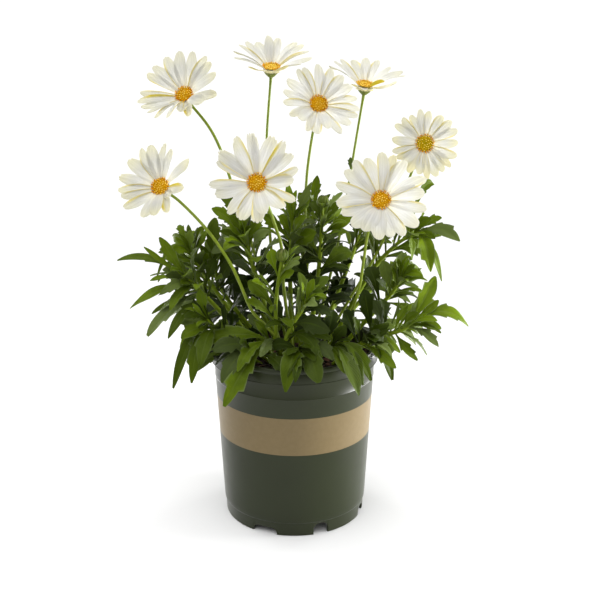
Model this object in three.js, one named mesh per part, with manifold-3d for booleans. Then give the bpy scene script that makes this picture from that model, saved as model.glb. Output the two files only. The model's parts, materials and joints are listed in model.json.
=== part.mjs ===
// White osteospermum growing in a round nursery pot.
// Units are millimetres, +Z is up, and the origin is the centre of the pot's foot, on the ground.

import * as THREE from 'three';
import { mergeVertices } from 'three/addons/utils/BufferGeometryUtils.js';
import Module from 'manifold-3d';

const wasm = await Module();
wasm.setup();

// Pot
const POT_HEIGHT = 171;
const POT_SIDES = 40;
const WALL = 1.8;
const WALL_FOOT_RADIUS = 67.9; // outer wall, carried down to the ground
const WALL_TOP_RADIUS = 77.2; // outer wall, carried up to the rim
const RIM_RADIUS = 78.8;
const RIM_DEPTH = 15;
const STEP_HEIGHT = 14.3; // ledge between the wall and the foot
const FOOT_RADIUS = 67.2;
const FOOT_WALL = 3;
const FLOOR_TOP = 14.2;
const FLOOR_THICKNESS = 2;
const LUG_RADIUS = 85.5;
const LUG_THICKNESS = 3;
const LUG_HALF_ANGLE = 28; // degrees
const LUG_TURN = 8; // degrees, the pair of lugs lies on one line through the axis
const DRAIN_RADIUS = 5;
const DRAIN_CIRCLE = 46;
const DRAIN_COUNT = 4;
// Notches in the foot: [degrees from the front, width, height], each with a twin opposite
const NOTCHES = [[-25, 25, 6.5], [22, 15, 11], [73, 16, 8]];

// Growing medium
const GAP = 0.3; // between pieces that touch
const MERGE_DISTANCE = 1e-3; // corners closer than this are one corner
const CLOSEST_CORNERS = 6e-3;
const SOIL_TOP = 158;
const STEM_FOOT = SOIL_TOP - 4; // the lines of the stems start here, and the stems are cut off level

// Green growth
const SHOOT_RADIUS = 2.3;
const SHOOT_SIDES = 5;
const FLOWER_STEM_RADIUS = 1.35;
const FLOWER_STEM_SIDES = 5;
const STEM_STEP = 14; // length of one straight piece of stem
const LEAF_THICKNESS = 1.4; // from the margins down to the midrib
const LEAF_STATIONS = [[0, 0.2], [0.38, 0.42], [0.72, 1]]; // [along, width share]
const LEAF_CLEARANCE = 1.2; // added to a leaf's width while it is tested against its neighbours
const SWINGS = [0, 8, -8, 16, -16, 26, -26, 40, -40]; // degrees tried, until a leaf has room
const SWING_SHRINK = 0.03; // a leaf that had to swing is shorter by this share, each time
const GOLDEN_ANGLE = THREE.MathUtils.degToRad(137.5);
const LOW_LEAF_OPENING = THREE.MathUtils.degToRad(62); // angle between a low leaf and its stem
const TOP_LEAF_OPENING = THREE.MathUtils.degToRad(24);
const OPENING_SPREAD = THREE.MathUtils.degToRad(22);
const LEAF_DROOP = 0.16;
const LEAF_SLIMNESS = 0.34; // width of a free leaf, as a share of its length
const LEAF_ARCH = 0.1; // lift of a free leaf's middle, as a share of its length
const UP = new THREE.Vector3(0, 0, 1);
const LIGHT = new THREE.Vector3(0, -0.8, 0.6); // the side that the plant grew towards
const LEAF_TURN = 0.6; // how far a leaf's face turns from the line of its stem to the light

// Flower heads
const HEAD_PLATE_RADIUS = 7;
const HEAD_PLATE_THICKNESS = 1.6;
const DISC_RADIUS = 7.6;
const DISC_FOOT_RADIUS = 5.4;
const DISC_HEIGHT = 4;
const CALYX_RADIUS = 7.4;
const CALYX_DEPTH = 7.4;
const HEAD_SIDES = 10;
const NECK_BLOCK = 20; // size of the block that cuts a stem off square under its calyx
const RAY_THICKNESS = 1.3;
const RAY_START = 5.4;
const RAY_STATIONS = [[0, 0.42], [0.62, 1], [1, 0.5]]; // [along, width share]
const BUD_RADIUS = 5.2;

const materials = {
  pot: new THREE.MeshStandardMaterial({ color: 0x3f4436, roughness: 0.35 }),
  soil: new THREE.MeshStandardMaterial({ color: 0x2e211a, roughness: 1 }),
  leaf: new THREE.MeshStandardMaterial({ color: 0x4f6f26, roughness: 0.55 }),
  stem: new THREE.MeshStandardMaterial({ color: 0x7f9c33, roughness: 0.6 }),
  ray: new THREE.MeshStandardMaterial({ color: 0xf2f0e6, roughness: 0.6 }),
  disc: new THREE.MeshStandardMaterial({ color: 0xd99a3a, roughness: 0.8 }),
  calyx: new THREE.MeshStandardMaterial({ color: 0x55702c, roughness: 0.6 }),
};

// Flowers: the middle of the head, the way it faces, its rays as [turn about the head in degrees,
// rise above its plane in degrees, length, width], and its stem from the ground up.
// A flower that grows out of a shoot names it and the place along it, and its stem starts there.
const flowers = [
  {
    name: 'upper_left', head: [-99.4, 22.4, 398.9], facing: [-0.2, -0.74, 0.64],
    rays: [
      [23, 28, 33.4, 8.7], [51, 23, 33.6, 7.6], [62, 21, 35.5, 7.6], [85, 22, 36.1, 9],
      [104, 23, 36.6, 9.2], [124, 21, 36, 9], [144, 20, 35.5, 8.2], [160, 21, 35, 8.4],
      [192, 22, 35.1, 7.1], [205, 24, 38.2, 7.6], [217, 24, 37.7, 7.6], [234, 28, 36.9, 4.9],
      [248, 28, 37.9, 6.5], [266, 32, 36.1, 6], [284, 28, 21.3, 9], [297, 19, 25.4, 8.2],
      [325, 36, 35.8, 10.1], [347, 26, 36.8, 9.5],
    ],
    stem: [
      [-11, 6, STEM_FOOT], [-31, 12, 232], [-54, 18, 305], [-60, 20, 325], [-68, 22, 350], [-79, 22, 372],
    ],
  },
  {
    name: 'top', head: [-21.2, 40.9, 420.9], facing: [0.05, -0.27, 0.96],
    rays: [
      [3, 27, 33.8, 7], [26, 28, 34.9, 7.5], [44, 25, 35.7, 8.9], [71, 28, 35.4, 8.1], [78, 21, 33.5, 5.4],
      [85, 32, 35.1, 7], [104, 22, 33.6, 8.6], [123, 25, 34.7, 6.5], [139, 26, 33.8, 7],
      [187, 31, 36.5, 5.9], [197, 25, 36.2, 5.9], [219, 21, 28, 5.4], [257, 21, 36.5, 6.5],
      [268, 21, 34.5, 6.5], [289, 29, 29.9, 5.4], [307, 26, 34.3, 5.9], [327, 26, 37.3, 5.4],
    ],
    stem: [[-6, 14, STEM_FOOT], [-20, 26, 233], [-25, 34, 300], [-26, 38, 354]],
  },
  {
    name: 'upper_middle', head: [21.7, 2.7, 393.3], facing: [0.1, -0.84, 0.54],
    rays: [
      [1, 20, 30.4, 7.3], [25, 21, 29, 9.8], [47, 20, 28.9, 9.3], [66, 17, 29.3, 8.3], [87, 21, 30.5, 8.3],
      [110, 21, 30, 7], [122, 20, 31.4, 6.5], [147, 22, 31, 7.8], [167, 22, 30, 7], [184, 21, 29.5, 7],
      [210, 25, 29.7, 7.8], [226, 32, 27.6, 8], [246, 24, 31.6, 7.5], [260, 24, 31.7, 9.3],
      [280, 30, 28.9, 8], [298, 18, 33.4, 7], [315, 21, 33, 7.8], [332, 18, 33.4, 7], [344, 21, 33, 7.5],
    ],
    stem: [[5, 8, STEM_FOOT], [9, 17, 256], [11, 16, 319], [15, 10, 356]],
  },
  {
    name: 'upper_right', head: [65.7, 50.7, 403.9], facing: [0.1, -0.21, 0.97],
    rays: [
      [20, 24, 32.2, 6.7], [45, 27, 34.3, 7.5], [65, 29, 33.9, 7.7], [84, 24, 33.2, 8.3],
      [109, 28, 33.4, 5.9], [125, 27, 33.8, 5.9], [161, 29, 35.4, 5.3], [215, 21, 23.4, 4.8],
      [230, 16, 33.3, 5.9], [239, 15, 33.2, 6.4], [249, 17, 35.3, 5.9], [285, 35, 22.2, 5.3],
      [292, 25, 33.7, 4.8], [324, 27, 34.8, 5.3], [346, 27, 33.3, 5.9],
    ],
    stem: [[14, 14, STEM_FOOT], [31, 20, 217], [42, 25, 264], [47, 30, 288], [55, 42, 337]],
  },
  {
    name: 'front_left', head: [-31, -75.1, 337.7], facing: [0.01, -0.91, 0.41],
    rays: [
      [2, 20, 27.4, 10.8], [16, 15, 32.2, 7.9], [39, 16, 33.3, 9.9], [54, 18, 37.4, 9.1],
      [69, 11, 36.5, 11.1], [93, 14, 36.6, 6.2], [98, 15, 37.2, 6.8], [118, 16, 36.7, 10.2],
      [139, 13, 36.6, 7.9], [146, 17, 34.8, 9.1], [155, 16, 33.3, 6.2], [185, 16, 36.2, 8.5],
      [198, 17, 32.8, 9.6], [229, 21, 34, 8.5], [248, 20, 33, 11.4], [271, 19, 32.9, 10.8],
      [283, 31, 29.5, 9.9], [311, 27, 30.8, 10.5], [331, 20, 33.5, 7.9],
    ],
    stem: [[0, -18, STEM_FOOT], [-9, -42, 233], [-11, -47, 274], [-16, -54, 295], [-22, -62, 315]],
  },
  {
    name: 'right', head: [120.2, 23.1, 355.1], facing: [-0.07, -0.95, 0.29],
    rays: [
      [0, 19, 25.9, 7.2], [21, 16, 27.2, 7.7], [41, 16, 26.7, 7.7], [60, 16, 24.7, 8.4], [85, 14, 24.6, 7],
      [100, 16, 26.7, 6], [119, 16, 24.2, 6.7], [135, 15, 26.1, 7.2], [149, 16, 27.7, 7.2],
      [176, 14, 25.6, 7.2], [197, 14, 26.1, 6.7], [210, 16, 25.2, 6.2], [224, 19, 24.4, 7.9],
      [241, 14, 26.6, 7.2], [261, 17, 25.3, 7.7], [274, 14, 28.6, 5.8], [290, 13, 28.1, 7.7],
      [305, 12, 26.5, 7.2], [319, 14, 27.6, 6.2], [335, 17, 27.2, 8.2],
    ],
    stem: [[22, 8, STEM_FOOT], [48, 14, 200], [76, 27, 245], [98, 36, 290], [112, 38, 330]],
  },
  {
    name: 'front_right', head: [74.1, -69.2, 321.4], facing: [-0.03, -0.87, 0.5],
    rays: [
      [8, 14, 32.6, 11.5], [26, 14, 37.1, 9.8], [61, 11, 34.5, 11], [75, 12, 35.5, 8.4],
      [89, 15, 36.2, 10.1], [109, 11, 33.5, 9.6], [126, 15, 36.2, 9], [141, 11, 35, 9],
      [164, 15, 36.2, 8.4], [189, 16, 34.3, 11], [203, 18, 32.9, 9.3], [227, 21, 33, 11.3],
      [246, 21, 30, 11.5], [265, 20, 34.5, 11], [284, 17, 32.3, 10.1], [301, 14, 34.1, 9.3],
      [321, 15, 35.7, 11], [346, 13, 35.1, 9],
    ],
    stem: [[18, -12, STEM_FOOT], [46, -26, 195], [58, -36, 231], [62, -44, 263], [65, -53, 290]],
  },
  {
    name: 'left', head: [-117.1, -31.4, 325.3], facing: [-0.28, -0.8, 0.53],
    rays: [
      [38, 22, 32, 7.2], [76, 21, 30, 5.8], [91, 20, 33, 6.3], [111, 18, 33.9, 9.9], [128, 17, 33.8, 8.5],
      [148, 20, 33.5, 9.7], [175, 19, 33.9, 8.5], [196, 19, 32.9, 7.7], [207, 20, 30.9, 7.2],
      [227, 19, 32.4, 8.9], [265, 27, 32.3, 8.9], [283, 30, 31.5, 8.9], [302, 21, 27.5, 8.2],
      [325, 31, 14.4, 7.2], [355, 26, 24.2, 8.2],
    ],
    growsFrom: { shoot: 'front_centre', along: 0.52 },
    stem: [
      [-27, -57, 207], [-38, -56, 220], [-48, -52, 243], [-58, -48, 263], [-77, -40, 289], [-100, -30, 311],
    ],
  },
];

// Shoots: the line of the stem, its placed leaves as [along the stem, tip, width, lift of the middle],
// and how many free leaves stand round the stem from `from` to its tip, with the longest one's length.
const shoots = [
  {
    name: 'front_centre',
    route: [[-4, -26, STEM_FOOT], [-24, -44, 178], [-17, -52, 192], [-16, -58, 230], [-11, -62, 266]],
    leaves: [
      [0.42, [-50, -88, 175], 11, 8],
      [0.4, [-61, -97, 144], 15, 14],
      [0.44, [-80, -60, 190], 16, 8],
      [0.9, [4, -76, 270], 9, 2],
      [0.93, [-20, -70, 284], 6, 0],
      [0.95, [-2, -66, 277], 6, 0],
      [0.75, [-27, -84, 250], 8, 2],
    ],
    free: { count: 7, from: 0.5, length: 42 },
  },
  {
    name: 'front_right',
    route: [[6, -28, STEM_FOOT], [-8, -50, 182], [-3, -59, 204], [6, -62, 220], [11, -64, 229]],
    leaves: [
      [0.9, [17, -70, 252], 8, 2],
      [0.95, [30, -60, 252], 9, 2],
      [0.8, [27, -80, 239], 8, 5],
      [0.86, [8, -76, 251], 7, 0],
      [0.35, [24, -88, 185], 11, 12],
      [0.6, [-7, -75, 243], 7, 3],
    ],
    free: { count: 7, from: 0.4, length: 44 },
  },
  {
    name: 'front_low_left',
    route: [[-14, -32, STEM_FOOT], [-29, -52, 175], [-38, -62, 182]],
    leaves: [
      [0.95, [-45, -93, 149], 13, 14],
      [0.9, [-64, -88, 163], 14, 12],
      [0.7, [-70, -84, 192], 15, 8],
    ],
    free: { count: 7, from: 0.5, length: 48 },
  },
  {
    name: 'front_low_middle',
    route: [[10, -42, STEM_FOOT], [5, -58, 178], [4, -66, 186]],
    leaves: [
      [0.95, [-8, -100, 159], 18, 14],
      [0.9, [17, -97, 163], 19, 12],
      [0.8, [32, -95, 177], 12, 10],
    ],
    free: { count: 6, from: 0.5, length: 42 },
  },
  {
    name: 'front_low_right',
    route: [[24, -34, STEM_FOOT], [25, -50, 178], [35, -58, 185]],
    leaves: [
      [0.95, [57, -98, 155], 15, 14],
      [0.9, [61, -84, 159], 14, 14],
      [0.98, [68, -76, 160], 13, 16],
      [0.6, [45, -92, 174], 12, 10],
    ],
    free: { count: 7, from: 0.5, length: 46 },
  },
  {
    name: 'left_low',
    route: [[-30, -22, STEM_FOOT], [-57, -36, 180], [-80, -44, 208]],
    leaves: [
      [0.97, [-110, -62, 147], 12, 16],
      [0.9, [-92, -72, 156], 13, 14],
      [0.8, [-83, -80, 175], 15, 10],
    ],
    free: { count: 8, from: 0.35, length: 50 },
  },
  {
    name: 'left_middle',
    route: [[-26, -12, STEM_FOOT], [-71, -26, 212], [-88, -30, 233], [-98, -32, 242]],
    leaves: [
      [0.98, [-161, -20, 255], 9, 10],
      [0.97, [-135, -30, 271], 5, 0],
      [0.9, [-119, -36, 281], 10, 0],
      [0.62, [-149, -38, 215], 11, 10],
      [0.7, [-111, -58, 221], 12, 6],
      [0.55, [-134, -48, 193], 16, 8],
      [0.6, [-121, -40, 214], 10, 4],
      [0.45, [-118, -62, 195], 10, 6],
      [0.5, [-133, -22, 206], 7, 4],
    ],
    free: { count: 7, from: 0.3, length: 42 },
  },
  {
    name: 'left_upper',
    route: [[-30, 0, STEM_FOOT], [-67, -8, 214], [-87, -8, 245], [-96, -8, 260]],
    leaves: [
      [0.95, [-97, -8, 286], 7, 0],
      [0.9, [-89, -2, 282], 7, 0],
      [0.95, [-108, -14, 276], 5, 0],
      [0.8, [-126, -24, 238], 6, 24],
      [0.85, [-81, 4, 281], 8, 0],
    ],
    free: { count: 10, from: 0.3, length: 42 },
  },
  {
    name: 'left_top',
    route: [[-20, 10, STEM_FOOT], [-63, 12, 208], [-76, 8, 242]],
    leaves: [
      [0.97, [-75, 0, 290], 15, 3],
      [0.9, [-55, 12, 276], 7, 0],
      [0.95, [-87, 0, 265], 8, 0],
      [0.8, [-60, -14, 252], 10, 6],
      [0.93, [-56, -6, 281], 17, 8],
    ],
    free: { count: 9, from: 0.3, length: 46 },
  },
  {
    name: 'middle_left',
    route: [[-12, -4, STEM_FOOT], [-35, -16, 240], [-45, -22, 280]],
    leaves: [
      [0.95, [-74, -20, 304], 10, 4],
      [0.7, [-62, -46, 274], 14, 8],
      [0.9, [-29, -18, 298], 9, 0],
      [0.97, [-53, -14, 297], 8, 0],
    ],
    free: { count: 11, from: 0.3, length: 48 },
  },
  {
    name: 'top_middle',
    route: [[-2, 2, STEM_FOOT], [-4, 4, 247], [0, 4, 291]],
    leaves: [
      [0.8, [-6, 0, 324], 9, 0],
      [0.98, [16, 6, 323], 8, 0],
      [0.9, [-8, 8, 306], 8, 2],
      [0.7, [-12, -6, 294], 10, 3],
    ],
    free: { count: 11, from: 0.35, length: 46 },
  },
  {
    name: 'top_bud',
    route: [[12, -2, STEM_FOOT], [23, -2, 247], [26, 0, 300]],
    leaves: [
      [0.95, [37, 2, 316], 8, 0],
      [0.9, [20, 6, 312], 6, 0],
      [0.85, [42, -6, 306], 9, 2],
      [0.8, [16, -16, 298], 9, 3],
    ],
    free: { count: 11, from: 0.35, length: 48 },
  },
  {
    name: 'right_top',
    route: [[32, 20, STEM_FOOT], [70, 30, 225], [96, 26, 258], [114, 18, 271]],
    leaves: [
      [0.98, [154, 6, 267], 13, 8],
      [0.97, [128, 0, 239], 15, 12],
      [0.98, [142, 20, 224], 8, 10],
      [0.99, [140, 20, 285], 8, 4],
      [0.9, [111, 10, 248], 8, 6],
      [0.85, [132, 36, 314], 9, 18],
    ],
    free: { count: 9, from: 0.4, length: 44 },
  },
  {
    name: 'right_tuft',
    route: [[36, 2, STEM_FOOT], [77, 0, 202], [92, -4, 221], [98, -6, 233]],
    leaves: [
      [0.7, [82, 0, 244], 10, 0],
      [0.95, [101, -2, 258], 12, 0],
      [0.97, [111, -8, 246], 7, 0],
      [0.8, [91, -14, 246], 9, 0],
    ],
    free: { count: 9, from: 0.35, length: 42 },
  },
  {
    name: 'right_low',
    route: [[36, -10, STEM_FOOT], [81, -26, 184], [97, -30, 191], [110, -30, 198]],
    leaves: [
      [0.98, [162, -30, 197], 14, 12],
      [0.9, [128, -34, 244], 15, 2],
      [0.98, [151, -20, 208], 6, 4],
      [0.85, [133, -42, 181], 11, 4],
      [0.95, [132, -28, 220], 8, 0],
      [0.8, [117, -20, 222], 9, 0],
    ],
    free: { count: 7, from: 0.3, length: 42 },
  },
  {
    name: 'right_front',
    route: [[34, -24, STEM_FOOT], [57, -40, 180], [65, -46, 185]],
    leaves: [
      [0.95, [89, -62, 155], 14, 18],
      [0.85, [80, -56, 186], 12, 14],
      [0.9, [97, -44, 175], 9, 8],
    ],
    free: { count: 7, from: 0.5, length: 46 },
  },
  {
    name: 'rear_left',
    route: [[-26, 20, STEM_FOOT], [-70, 46, 196], [-100, 62, 216]],
    leaves: [[0.98, [-140, 84, 206], 13, 12], [0.9, [-118, 98, 228], 12, 8]],
    free: { count: 11, from: 0.35, length: 50 },
  },
  {
    name: 'rear_left_top',
    route: [[-14, 22, STEM_FOOT], [-40, 50, 226], [-56, 62, 268]],
    leaves: [[0.98, [-70, 76, 302], 10, 2]],
    free: { count: 12, from: 0.35, length: 48 },
  },
  {
    name: 'rear_middle',
    route: [[2, 32, STEM_FOOT], [4, 68, 204], [8, 86, 232]],
    leaves: [[0.98, [14, 100, 268], 12, 2]],
    free: { count: 10, from: 0.35, length: 40 },
  },
  {
    name: 'rear_top',
    route: [[6, 22, STEM_FOOT], [12, 42, 236], [18, 52, 284]],
    leaves: [[0.98, [22, 62, 318], 9, 1]],
    free: { count: 12, from: 0.35, length: 46 },
  },
  {
    name: 'rear_right',
    route: [[28, 28, STEM_FOOT], [68, 58, 196], [94, 76, 210]],
    leaves: [[0.98, [132, 96, 204], 13, 12], [0.9, [116, 60, 236], 12, 8]],
    free: { count: 11, from: 0.35, length: 50 },
  },
  {
    name: 'rear_right_top',
    route: [[20, 22, STEM_FOOT], [52, 50, 230], [66, 60, 268]],
    leaves: [[0.98, [82, 70, 300], 10, 2]],
    free: { count: 12, from: 0.35, length: 48 },
  },
  {
    name: 'rear_low_left',
    route: [[-16, 34, STEM_FOOT], [-32, 58, 178], [-42, 72, 184]],
    leaves: [[0.95, [-60, 102, 150], 15, 14], [0.9, [-26, 104, 156], 14, 14]],
    free: { count: 8, from: 0.5, length: 48 },
  },
  {
    name: 'rear_low_right',
    route: [[16, 36, STEM_FOOT], [34, 60, 178], [42, 72, 184]],
    leaves: [[0.95, [64, 100, 148], 15, 14], [0.9, [26, 105, 158], 14, 14]],
    free: { count: 8, from: 0.5, length: 48 },
  },
];

// Buds stand on the tips of these shoots.
const buds = [
  { name: 'bud_front', shoot: 'front_centre' },
  { name: 'bud_top', shoot: 'top_bud' },
];

const vector = (point) => new THREE.Vector3(...point);
const radians = THREE.MathUtils.degToRad;
const lerp = THREE.MathUtils.lerp;

// A repeatable row of numbers from 0 to 1.
function numbers(start) {
  let state = start;
  return () => {
    state = (state * 1664525 + 1013904223) % 4294967296;
    return state / 4294967296;
  };
}

function toSolid(geometry) {
  const plain = geometry.index ? geometry.toNonIndexed() : geometry.clone();
  plain.deleteAttribute('normal');
  plain.deleteAttribute('uv');
  const merged = mergeVertices(plain, MERGE_DISTANCE);
  return new wasm.Manifold(new wasm.Mesh({
    numProp: 3,
    vertProperties: new Float32Array(merged.attributes.position.array),
    triVerts: new Uint32Array(merged.index.array),
  }));
}

function toGeometry(solid) {
  const mesh = solid.getMesh();
  const geometry = new THREE.BufferGeometry();
  geometry.setAttribute('position', new THREE.BufferAttribute(new Float32Array(mesh.vertProperties), 3));
  geometry.setIndex(new THREE.BufferAttribute(new Uint32Array(mesh.triVerts), 1));
  return geometry;
}

// One skin with no sealed pocket inside it, and with no two corners closer than they may be.
function isSound(solid) {
  const geometry = toGeometry(solid);
  const corners = geometry.attributes.position.count;
  const apart = mergeVertices(geometry, CLOSEST_CORNERS).attributes.position.count === corners;
  return apart && toSolid(geometry).decompose().length === 1;
}

// A closed skin through rings of points; every ring turns right-handed round the way it goes,
// and a last ring of one point closes to a tip.
function loft(rings) {
  const sides = rings[0].length;
  const positions = rings.flat().flatMap((point) => point.toArray());
  const faces = [];
  for (let side = 2; side < sides; side += 1) {
    faces.push(0, side, side - 1);
  }
  rings.slice(1).forEach((ring, step) => {
    const low = step * sides;
    const high = low + sides;
    for (let side = 0; side < sides; side += 1) {
      const next = (side + 1) % sides;
      if (ring.length === 1) {
        faces.push(low + side, low + next, high);
      } else {
        faces.push(low + side, low + next, high + next);
        faces.push(low + side, high + next, high + side);
      }
    }
  });
  if (rings.at(-1).length > 1) {
    const last = (rings.length - 1) * sides;
    for (let side = 2; side < sides; side += 1) {
      faces.push(last, last + side - 1, last + side);
    }
  }
  const geometry = new THREE.BufferGeometry();
  geometry.setAttribute('position', new THREE.Float32BufferAttribute(positions, 3));
  geometry.setIndex(faces);
  return geometry;
}

// A turned body from its half section of [radius, height] points, listed upwards on the outside.
function turned(profile, sides) {
  const points = profile.map(([radius, height]) => new THREE.Vector2(radius, height));
  return new THREE.LatheGeometry(points, sides).rotateX(Math.PI / 2);
}

// A three-sided blade section: two thin margins, and a midrib below them.
function bladeRing(centre, across, normal, width, thickness) {
  const margin = centre.clone().addScaledVector(normal, thickness / 2);
  return [
    margin.clone().addScaledVector(across, width / 2),
    margin.clone().addScaledVector(across, -width / 2),
    centre.clone().addScaledVector(normal, -thickness / 2),
  ];
}

// ---- pot and soil ----

function arcBlock(innerRadius, outerRadius, halfAngle, bottom, height) {
  const outline = new THREE.Shape();
  outline.absarc(0, 0, outerRadius, -halfAngle, halfAngle, false);
  outline.absarc(0, 0, innerRadius, halfAngle, -halfAngle, true);
  return new THREE.ExtrudeGeometry(outline, { depth: height, bevelEnabled: false, curveSegments: 8 })
    .translate(0, 0, bottom);
}

const wallRadius = (height) => lerp(WALL_FOOT_RADIUS, WALL_TOP_RADIUS, height / POT_HEIGHT);

function makePot() {
  const rimFoot = POT_HEIGHT - RIM_DEPTH;
  const body = toSolid(turned([
    [0, FLOOR_TOP - FLOOR_THICKNESS],
    [FOOT_RADIUS - FOOT_WALL, FLOOR_TOP - FLOOR_THICKNESS],
    [FOOT_RADIUS - FOOT_WALL, 0],
    [FOOT_RADIUS - 0.8, 0],
    [FOOT_RADIUS, 2],
    [FOOT_RADIUS + 0.5, STEP_HEIGHT - 0.8],
    [wallRadius(STEP_HEIGHT), STEP_HEIGHT],
    [wallRadius(rimFoot), rimFoot],
    [RIM_RADIUS - 0.6, rimFoot + 0.6],
    [RIM_RADIUS, POT_HEIGHT - 1],
    [RIM_RADIUS - 1, POT_HEIGHT],
    [WALL_TOP_RADIUS - WALL + 0.6, POT_HEIGHT],
    [WALL_TOP_RADIUS - WALL, POT_HEIGHT - 1.5],
    [wallRadius(FLOOR_TOP) - WALL, FLOOR_TOP],
    [0, FLOOR_TOP],
  ], POT_SIDES));
  const lugs = [LUG_TURN, LUG_TURN + 180].map((turn) => toSolid(
    arcBlock(
      RIM_RADIUS - 1.2, LUG_RADIUS, radians(LUG_HALF_ANGLE), POT_HEIGHT - 0.4 - LUG_THICKNESS, LUG_THICKNESS,
    ).rotateZ(radians(turn)),
  ));
  const notches = NOTCHES.flatMap(([angle, width, height]) => [angle, angle + 180].map((turn) => toSolid(
    new THREE.BoxGeometry(width, 14, height + 2)
      .translate(0, -FOOT_RADIUS, height / 2 - 1)
      .rotateZ(radians(turn)),
  )));
  const drains = Array.from({ length: DRAIN_COUNT }, (_, index) => toSolid(
    new THREE.CylinderGeometry(DRAIN_RADIUS, DRAIN_RADIUS, 8, 8)
      .rotateX(Math.PI / 2)
      .translate(DRAIN_CIRCLE, 0, FLOOR_TOP)
      .rotateZ((index * 2 * Math.PI) / DRAIN_COUNT),
  ));
  const whole = lugs.reduce((sum, lug) => sum.add(lug), body);
  return [...notches, ...drains].reduce((rest, cut) => rest.subtract(cut), whole);
}

function makeSoil() {
  const bottom = FLOOR_TOP + GAP;
  return toSolid(turned([
    [0, bottom],
    [wallRadius(bottom) - WALL - GAP, bottom],
    [wallRadius(SOIL_TOP) - WALL - GAP, SOIL_TOP],
    [0, SOIL_TOP],
  ], POT_SIDES));
}

// ---- stems and leaves ----

// Everything under the level where the stems are cut off
const belowStems = toSolid(new THREE.BoxGeometry(2 * RIM_RADIUS, 2 * RIM_RADIUS, 2 * RIM_DEPTH)
  .translate(0, 0, SOIL_TOP + GAP - RIM_DEPTH));

const routeCurve = (points) => new THREE.CatmullRomCurve3(points.map(vector), false, 'catmullrom', 0.5);

function makeStem(curve, radius, sides) {
  const corners = Array.from({ length: sides }, (_, corner) => {
    const angle = (corner * 2 * Math.PI) / sides;
    return new THREE.Vector2(radius * Math.cos(angle), radius * Math.sin(angle));
  });
  return toSolid(new THREE.ExtrudeGeometry(new THREE.Shape(corners), {
    steps: Math.max(3, Math.round(curve.getLength() / STEM_STEP)),
    bevelEnabled: false,
    extrudePath: curve,
  })).subtract(belowStems);
}

// A leaf from a point on its stem to its tip, its upper face turned partly to the way the stem
// grows and partly to the light.
function leafGeometry(base, tip, width, lift, growth, extra = 0) {
  const middle = base.clone().lerp(tip, 0.5);
  middle.z += 2 * lift;
  const spine = new THREE.QuadraticBezierCurve3(base, middle, tip);
  const level = growth.clone().lerp(LIGHT, LEAF_TURN).cross(tip.clone().sub(base)).normalize();
  const rings = LEAF_STATIONS.map(([along, share]) => {
    const tangent = spine.getTangent(along);
    const across = level.clone().addScaledVector(tangent, -level.dot(tangent)).normalize();
    const normal = tangent.clone().cross(across);
    return bladeRing(spine.getPoint(along), across, normal, width * share + extra, LEAF_THICKNESS + extra);
  });
  return loft([...rings, [tip]]);
}

// The free leaves of a shoot stand round its stem like a spiral stair, shorter towards the tip.
function freeLeaves(shoot, curve, random) {
  const { count, from, length } = shoot.free;
  return Array.from({ length: count }, (_, index) => {
    const share = (index + 0.5) / count;
    const along = from + (1 - from) * share;
    const growth = curve.getTangent(along);
    const side = growth.clone().cross(vector(Math.abs(growth.x) > 0.9 ? [0, 0, 1] : [1, 0, 0])).normalize();
    const turn = index * GOLDEN_ANGLE + random() * Math.PI;
    const opening = lerp(LOW_LEAF_OPENING, TOP_LEAF_OPENING, share) + (random() - 0.5) * OPENING_SPREAD;
    const size = lerp(length, length * 0.55, share) * (0.85 + 0.3 * random());
    const outward = side.applyAxisAngle(growth, turn);
    const tip = curve.getPoint(along)
      .addScaledVector(growth, size * Math.cos(opening))
      .addScaledVector(outward, size * Math.sin(opening));
    tip.z -= LEAF_DROOP * size * Math.sin(opening);
    return [along, tip.toArray(), size * LEAF_SLIMNESS, size * LEAF_ARCH];
  });
}

function growLeaves(shoot, curve, stem, random, neighbours) {
  let whole = stem;
  [...shoot.leaves, ...freeLeaves(shoot, curve, random)].forEach(([along, tipPoint, width, lift]) => {
    const base = curve.getPoint(along);
    const growth = curve.getTangent(along);
    for (const [tries, swing] of SWINGS.entries()) {
      const reach = vector(tipPoint).sub(base)
        .applyAxisAngle(growth, radians(swing))
        .multiplyScalar(1 - SWING_SHRINK * tries);
      const tip = base.clone().add(reach);
      const wide = toSolid(leafGeometry(base, tip, width, lift, growth, LEAF_CLEARANCE));
      const joined = whole.add(toSolid(leafGeometry(base, tip, width, lift, growth)));
      if (isSound(joined) && neighbours.every((other) => wide.intersect(other).isEmpty())) {
        whole = joined;
        break;
      }
    }
  });
  return whole;
}

// ---- flower heads, modelled facing +Z with the underside of the rays' plate at the origin ----

function makeRays(flower) {
  const plate = toSolid(turned([
    [0, 0], [HEAD_PLATE_RADIUS, 0], [HEAD_PLATE_RADIUS, HEAD_PLATE_THICKNESS], [0, HEAD_PLATE_THICKNESS],
  ], HEAD_SIDES));
  return flower.rays.reduce((whole, [turn, rise, length, width]) => {
    const out = new THREE.Vector3(Math.cos(radians(turn)), Math.sin(radians(turn)), 0);
    const start = out.clone().multiplyScalar(RAY_START).setZ(HEAD_PLATE_THICKNESS / 2);
    const along = out.multiplyScalar(Math.cos(radians(rise))).setZ(Math.sin(radians(rise)));
    const across = UP.clone().cross(along).normalize();
    const normal = along.clone().cross(across);
    return whole.add(toSolid(loft(RAY_STATIONS.map(([share, widthShare]) => bladeRing(
      start.clone().addScaledVector(along, share * length), across, normal, width * widthShare, RAY_THICKNESS,
    )))));
  }, plate);
}

function makeDisc() {
  const foot = HEAD_PLATE_THICKNESS + GAP;
  return toSolid(turned([
    [0, foot],
    [DISC_FOOT_RADIUS, foot],
    [DISC_RADIUS, foot + DISC_HEIGHT * 0.5],
    [DISC_RADIUS * 0.78, foot + DISC_HEIGHT * 0.86],
    [0, foot + DISC_HEIGHT],
  ], HEAD_SIDES));
}

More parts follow.
